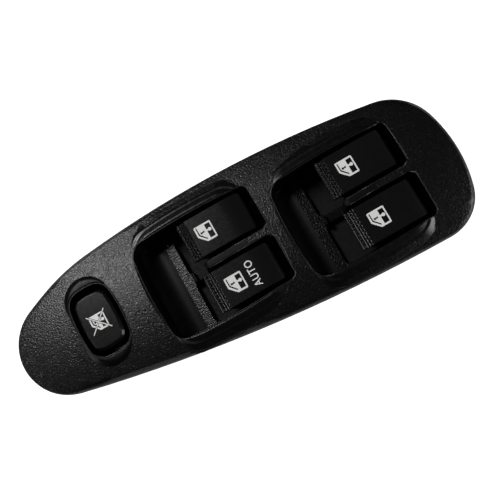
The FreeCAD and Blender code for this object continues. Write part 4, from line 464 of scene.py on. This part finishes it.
lip_corners, lip_faces, lip_count = [], [], 0
for points, closed in rim_chains(merged_copy("bezel")):
    corners, faces = bead(points, closed)
    lip_corners.append(corners)
    lip_faces += [[n + lip_count for n in face] for face in faces]
    lip_count += len(corners)
lips = add_surface("rim_lips", np.vstack(lip_corners), lip_faces, True)
# The lips' lighter black is a painted highlight line round the rims.
dress(lips.data, lip_highlight_abs)
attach(lips, "base")


# Seal: foam between the lower edges of the wells and the module's deck, which keeps dust and light out

SEAL_TOP, SEAL_THICKNESS, SEAL_TOLERANCE = 28.2, 1.4, 0.05


def seal_strip(name, mesh):
    """The bezel's level lower faces at SEAL_TOP round the wells and the lock opening, with the same faces
    SEAL_THICKNESS below them and a wall along every edge that only one of these faces has."""
    corners = corner_array(mesh)
    triangles = np.array([face.vertices[:] for face in mesh.polygons if len(face.vertices) == 3])
    near = inside(corners, LOCK_MIDDLE, LOCK_GUARD_HALF_LENGTH + EDGE_MARGIN + 1, LOCK_GUARD_HALF_WIDTH,
                  STRAIGHT, STRAIGHT)
    for x, y, _, _ in WELLS.values():
        near |= inside(corners, (x, y), GUARD_HALF_LENGTH + EDGE_MARGIN, GUARD_HALF_WIDTH, STRAIGHT, STRAIGHT)
    level = near & (np.abs(corners[:, 2] - SEAL_TOP) < SEAL_TOLERANCE)
    flat = triangles[level[triangles].all(axis=1)]
    a, b, c = (corners[flat[:, n], :2] for n in range(3))
    facing = (b[:, 0] - a[:, 0]) * (c[:, 1] - a[:, 1]) - (b[:, 1] - a[:, 1]) * (c[:, 0] - a[:, 0])
    flat = flat[facing < 0]
    count = len(corners)
    ways = np.concatenate([flat[:, [0, 1]], flat[:, [1, 2]], flat[:, [2, 0]]])
    open_edge = ~np.isin(ways[:, 0] * count + ways[:, 1], ways[:, 1] * count + ways[:, 0])
    start, end = ways[open_edge].T
    used, place = np.unique(flat, return_inverse=True)
    found = np.full(count, -1)
    found[used] = np.arange(len(used))
    upper = corners[used]
    lower = upper - np.array([0.0, 0.0, SEAL_THICKNESS])
    sides = np.stack([found[end], found[start], found[start] + len(used), found[end] + len(used)], -1)
    below = place.reshape(-1, 3)
    faces = below[:, ::-1].tolist() + (below + len(used)).tolist() + sides.tolist()
    piece = add_surface(name, np.vstack([upper, lower]), faces, False)
    dress(piece.data, black_foam)
    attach(piece, "base")


seal_strip("deck_seal", merged_copy("bezel"))


# Coil: the spring under the lock button, which stands on the case; here it is a fixed copy of its solid and does
# not shorten with the button's travel

coil_mesh = merged_copy("lock_spring")
for face in coil_mesh.polygons:
    face.use_smooth = True
dress(coil_mesh, bright_steel)
coil = add_piece("lock_coil", coil_mesh)
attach(coil, "base")
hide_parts("lock_spring")
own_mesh(coil)


# Grips: rows of scale-like pips on the rockers' noses

GRIP_FRONT, GRIP_FRONT_LEVEL, GRIP_SLOPE = -18.45, 44.4, 0.44
PIP_COLUMNS, PIP_ROWS, PIP_START = 3, 9, 0.75
PIP_ALONG, PIP_ACROSS = 1.45, 1.88
PIP_HALF_LENGTH, PIP_HALF_WIDTH, PIP_HEIGHT, PIP_SUNK = 0.72, 0.58, 0.46, 0.05
PIP_LEAN, PIP_SIDES, PIP_RINGS = 0.6, 10, 3


def grip_pips(name, pivot, body):
    """Pips in a grid on the sloping grip, every other column shifted. Each is a scale: its height at r from its
    middle and at an angle t is PIP_HEIGHT (1 - r^2) (1 - PIP_LEAN r cos t), so it leans towards the nose."""
    t = np.arange(PIP_SIDES) * 2 * np.pi / PIP_SIDES
    r = np.linspace(1.0, 0.0, PIP_RINGS + 1)[:-1]
    rr, tt = np.meshgrid(r, t, indexing="ij")
    shape = np.stack([rr * np.cos(tt) * PIP_HALF_LENGTH, rr * np.sin(tt) * PIP_HALF_WIDTH,
                      PIP_HEIGHT * (1 - rr ** 2) * (1 - PIP_LEAN * rr * np.cos(tt))], -1).reshape(-1, 3)
    shape = np.vstack([shape, [(0.0, 0.0, PIP_HEIGHT)]])
    u, v = np.meshgrid(np.arange(PIP_COLUMNS), np.arange(PIP_ROWS) - (PIP_ROWS - 1) / 2, indexing="ij")
    shift = np.where(u % 2 == 1, PIP_ACROSS / 4, -PIP_ACROSS / 4)
    x = GRIP_FRONT + PIP_START + u * PIP_ALONG
    level = GRIP_FRONT_LEVEL + GRIP_SLOPE * (x - GRIP_FRONT) - PIP_SUNK
    middles = np.stack([x, v * PIP_ACROSS + shift, level], -1)
    middles = middles.reshape(-1, 3) + np.array([pivot[0], pivot[1], 0.0])
    corners = (middles[:, None, :] + shape[None, :, :]).reshape(-1, 3)
    k, m = np.meshgrid(np.arange(PIP_RINGS - 1) * PIP_SIDES, np.arange(PIP_SIDES), indexing="ij")
    beside = (m + 1) % PIP_SIDES
    quads = np.stack([k + m, k + beside, k + PIP_SIDES + beside, k + PIP_SIDES + m], -1).reshape(-1, 4)
    last, top = (PIP_RINGS - 1) * PIP_SIDES, PIP_RINGS * PIP_SIDES
    caps = np.stack([last + m[0], last + beside[0], np.full(PIP_SIDES, top)], -1)
    starts = (np.arange(len(middles)) * len(shape))[:, None, None]
    faces = (quads[None] + starts).reshape(-1, 4).tolist() + (caps[None] + starts).reshape(-1, 3).tolist()
    piece = add_surface(name, corners, faces, True)
    dress(piece.data, rocker_abs)
    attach(piece, body)


for name, pivot in ROCKERS.items():
    grip_pips(f"{name}_grip_pips", pivot, f"{name}_key")


# Printed symbols

PRINT_HEIGHT, GAP_HEIGHT, CROSS_HEIGHT, CROSS_STEP = 0.012, 0.02, 0.03, 0.004
CROSS_WIDTH, CROSS_GAP_WIDTH = 0.42, 0.85
SYMBOL_SIDE, LOCK_SYMBOL_SIDE = 8.06, 7.3
SYMBOL_CORNERS = {
    "front_right": (-10.6, 11.5),
    "front_left": (-9.95, -14.4),
    "rear_right": (56.0, 5.2),
    "rear_left": (56.6, -20.6),
}
LOCK_SYMBOL_CORNER = (-69.6, 1.2)
WORD_MIDDLE, WORD_LENGTH, WORD_HEIGHT = (2.55, -10.35), 12.1, 3.5
WORD_WEIGHT, WORD_SPACING = 0.01, 1.08

# The window symbol, as parts of its side: a pane with a gap round a winding handle, a line and a dash.
OUTLINE = [(0.0, 0.94), (0.02, 0.985), (0.07, 1.0), (0.93, 1.0), (0.985, 0.98), (1.0, 0.93), (1.0, 0.07),
           (0.985, 0.02), (0.93, 0.0), (0.42, 0.0), (0.37, 0.03), (0.03, 0.39), (0.0, 0.44)]
KNOB_MIDDLE, KNOB_RADIUS = (0.79, 0.55), 0.10
KNOB = [(KNOB_MIDDLE[0] + KNOB_RADIUS * math.cos(math.radians(a)),
         KNOB_MIDDLE[1] + KNOB_RADIUS * math.sin(math.radians(a))) for a in range(-150, 151, 30)]
PANE_GAP = [(0.92, 0.90), (0.92, 0.10), (0.615, 0.10), (0.615, 0.50), *KNOB, (0.615, 0.60), (0.615, 0.90)]
INNER_LINE = [(0.095, 0.93), (0.155, 0.93), (0.165, 0.52), (0.47, 0.165), (0.43, 0.115), (0.10, 0.475)]
DASH = [(0.24, 0.63), (0.30, 0.60), (0.40, 0.60), (0.46, 0.64), (0.48, 0.54), (0.42, 0.52), (0.34, 0.52),
        (0.28, 0.48), (0.22, 0.53)]


def made_mesh(name, data):
    """The mesh of a curve or a text."""
    holder = add_piece(name, data)
    bpy.context.view_layer.update()
    mesh = bpy.data.meshes.new_from_object(holder.evaluated_get(bpy.context.evaluated_depsgraph_get()))
    bpy.data.objects.remove(holder)
    return mesh


def flat_curve(name, outlines, height_mm):
    """The mesh of a filled flat curve: each outline is a closed run of straight sides, and an outline inside
    another is a hole."""
    curve = bpy.data.curves.new(name, "CURVE")
    curve.dimensions = "2D"
    curve.fill_mode = "BOTH"
    curve.extrude = height_mm / 2 * MM
    for outline in outlines:
        line = curve.splines.new("POLY")
        line.points.add(len(outline) - 1)
        flat = np.zeros((len(outline), 4))
        flat[:, :2] = np.array(outline) * MM
        flat[:, 3] = 1.0
        line.points.foreach_set("co", flat.ravel())
        line.use_cyclic_u = True
    return made_mesh(name, curve)


def flat_print(name, outlines, corner, height, level, body, finish):
    """A flat print of a height on a face at a level, its outlines in millimetres from a corner."""
    mesh = flat_curve(name, outlines, height)
    mesh.transform(Matrix.Translation(Vector((*corner, level + height / 2)) * MM))
    dress(mesh, finish)
    piece = add_piece(name, mesh)
    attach(piece, body)


def scaled(outline, side):
    """An outline given as parts of a side, in millimetres."""
    return [(x * side, y * side) for x, y in outline]


def window_symbol(name, corner, side, level, body):
    """The window symbol with its lower left corner at a place."""
    outlines = [scaled(outline, side) for outline in (OUTLINE, PANE_GAP, INNER_LINE, DASH)]
    flat_print(name, outlines, corner, PRINT_HEIGHT, level, body, white_ink)


for name, corner in SYMBOL_CORNERS.items():
    window_symbol(f"{name}_symbol", corner, SYMBOL_SIDE, FACE_LEVEL, f"{name}_key")
window_symbol("lock_symbol", LOCK_SYMBOL_CORNER, LOCK_SYMBOL_SIDE, BUTTON_LEVEL, "lock_key")


def bar(start, end, width):
    """The four corners of a straight bar."""
    a, b = np.array(start), np.array(end)
    side = np.array([a[1] - b[1], b[0] - a[0]]) / np.linalg.norm(b - a) * width / 2
    return [tuple(a + side), tuple(b + side), tuple(b - side), tuple(a - side)]


# The lock symbol is crossed out: each stroke lies in a wider gap of the button's own plastic.
CROSS_LINES = (((-0.13, -0.09), (1.11, 1.10)), ((-0.10, 1.07), (1.106, -0.11)))
for n, line in enumerate(CROSS_LINES):
    ends = scaled(line, LOCK_SYMBOL_SIDE)
    flat_print(f"lock_cross_gap_{n}", [bar(*ends, CROSS_GAP_WIDTH)], LOCK_SYMBOL_CORNER,
               GAP_HEIGHT + CROSS_STEP * n, BUTTON_LEVEL, "lock_key", button_abs)
    flat_print(f"lock_cross_{n}", [bar(*ends, CROSS_WIDTH)], LOCK_SYMBOL_CORNER,
               CROSS_HEIGHT + CROSS_STEP * n, BUTTON_LEVEL, "lock_key", white_ink)


def function_word(name, word, middle, length, height, level, body):
    """A word in bold letters that reads along +Y, its letters' tops towards -X."""
    text = bpy.data.curves.new(name, "FONT")
    text.body = word
    text.align_x = "CENTER"
    text.align_y = "CENTER"
    text.offset = WORD_WEIGHT
    text.space_character = WORD_SPACING
    mesh = made_mesh(name, text)
    drawn = corner_array(mesh)
    low, high = drawn.min(0), drawn.max(0)
    flat = (drawn - (low + high) / 2) / np.maximum(high - low, 1e-6)
    placed = np.stack([middle[0] - flat[:, 1] * height, middle[1] + flat[:, 0] * length,
                       np.full(len(drawn), level + PRINT_HEIGHT)], -1)
    mesh.vertices.foreach_set("co", (placed * MM).ravel())
    mesh.update()
    dress(mesh, white_ink)
    piece = add_piece(name, mesh)
    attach(piece, body)


function_word("auto_word", "AUTO", WORD_MIDDLE, WORD_LENGTH, WORD_HEIGHT, FACE_LEVEL, "front_left_key")


# Stage, light and camera

FLOOR_HALF_SIDE, FLOOR_GLOW, SKY_LIGHT = 3.0, 0.96, 0.02


def area_light(name, place, target, width, height, watts):
    """A rectangular white softbox, in metres: its height runs as far along +Y as its direction allows."""
    data = bpy.data.lights.new(name, "AREA")
    data.shape = "RECTANGLE"
    data.size = width
    data.size_y = height
    data.energy = watts
    lamp = add_piece(name, data)
    lamp.location = place
    lamp.rotation_euler = (Vector(target) - Vector(place)).to_track_quat("-Z", "Y").to_euler()


def floor():
    """A pale floor, level with the bottom of the part, that glows white to the camera but keeps the shadow."""
    square = np.array([(-1.0, -1.0, 0.0), (1.0, -1.0, 0.0), (1.0, 1.0, 0.0), (-1.0, 1.0, 0.0)])
    sheet = add_surface("floor", square * FLOOR_HALF_SIDE / MM, [(0, 1, 2, 3)], False)
    made = bpy.data.materials.new("pale_paper")
    made.use_nodes = True
    tree = made.node_tree
    tree.nodes.clear()
    rays = node(tree, "ShaderNodeLightPath")
    paper = node(tree, "ShaderNodeBsdfDiffuse", {"Color": linear("#e8e8e8")})
    glow = node(tree, "ShaderNodeEmission", {"Color": linear("#ffffff"), "Strength": FLOOR_GLOW})
    none = node(tree, "ShaderNodeEmission", {"Strength": 0.0})
    lit = node(tree, "ShaderNodeMixShader", links={0: (rays, "Is Camera Ray"), 1: (none, 0), 2: (glow, 0)})
    both = node(tree, "ShaderNodeAddShader", links={0: (paper, 0), 1: (lit, 0)})
    node(tree, "ShaderNodeOutputMaterial", links={"Surface": (both, 0)})
    dress(sheet.data, made)


def sky():
    """Dim grey light from all round, and white where the camera sees past the floor."""
    world = bpy.data.worlds.new("studio")
    bpy.context.scene.world = world
    world.use_nodes = True
    tree = world.node_tree
    tree.nodes.clear()
    rays = node(tree, "ShaderNodeLightPath")
    strength = node(tree, "ShaderNodeMapRange", {"To Min": SKY_LIGHT, "To Max": 1.0},
                    {"Value": (rays, "Is Camera Ray")})
    light = node(tree, "ShaderNodeBackground", {"Color": linear("#ffffff")}, {"Strength": (strength, 0)})
    node(tree, "ShaderNodeOutputWorld", links={"Surface": (light, 0)})


TILT_ACROSS = math.radians(9.5)
TILT_ALONG = math.radians(1.5)
ROLL = math.radians(29.6)
DISTANCE = 0.340
TARGET = Vector((6.21, -0.04, 41.0)) * MM
FOCAL_PIXELS = 780.0
PICTURE_PIXELS = 500.0


def camera():
    """The photograph's view: steeply from above, leaning towards the lower long side, and rolled so that the
    panel's round end points up to the right."""
    back = Vector((math.sin(TILT_ALONG), -math.sin(TILT_ACROSS) * math.cos(TILT_ALONG),
                   math.cos(TILT_ACROSS) * math.cos(TILT_ALONG))).normalized()
    level_up = Vector((0, 1, 0)) - back * back.y
    level_up.normalize()
    level_right = level_up.cross(back)
    right = math.cos(ROLL) * level_right - math.sin(ROLL) * level_up
    up = math.sin(ROLL) * level_right + math.cos(ROLL) * level_up
    data = bpy.data.cameras.new("camera")
    data.sensor_width = 36.0
    data.lens = FOCAL_PIXELS / PICTURE_PIXELS * data.sensor_width
    view = add_piece("camera", data)
    turn = Matrix((right, up, back)).transposed().to_4x4()
    view.matrix_world = Matrix.Translation(TARGET + back * DISTANCE) @ turn
    bpy.context.scene.camera = view


floor()
sky()
camera()
area_light("key_strip_softbox", (-0.262, 0.395, 0.717), (-0.045, 0.01, 0.045), 0.10, 0.32, 3.3)
area_light("low_side_softbox", (-0.70, -0.04, 0.27), (0.0, 0.0, 0.04), 0.3, 0.16, 1.0)
area_light("right_fill_softbox", (0.60, -0.33, 0.30), (0.0, 0.0, 0.04), 0.45, 0.45, 3.2)
bpy.context.scene.view_settings.view_transform = "Standard"
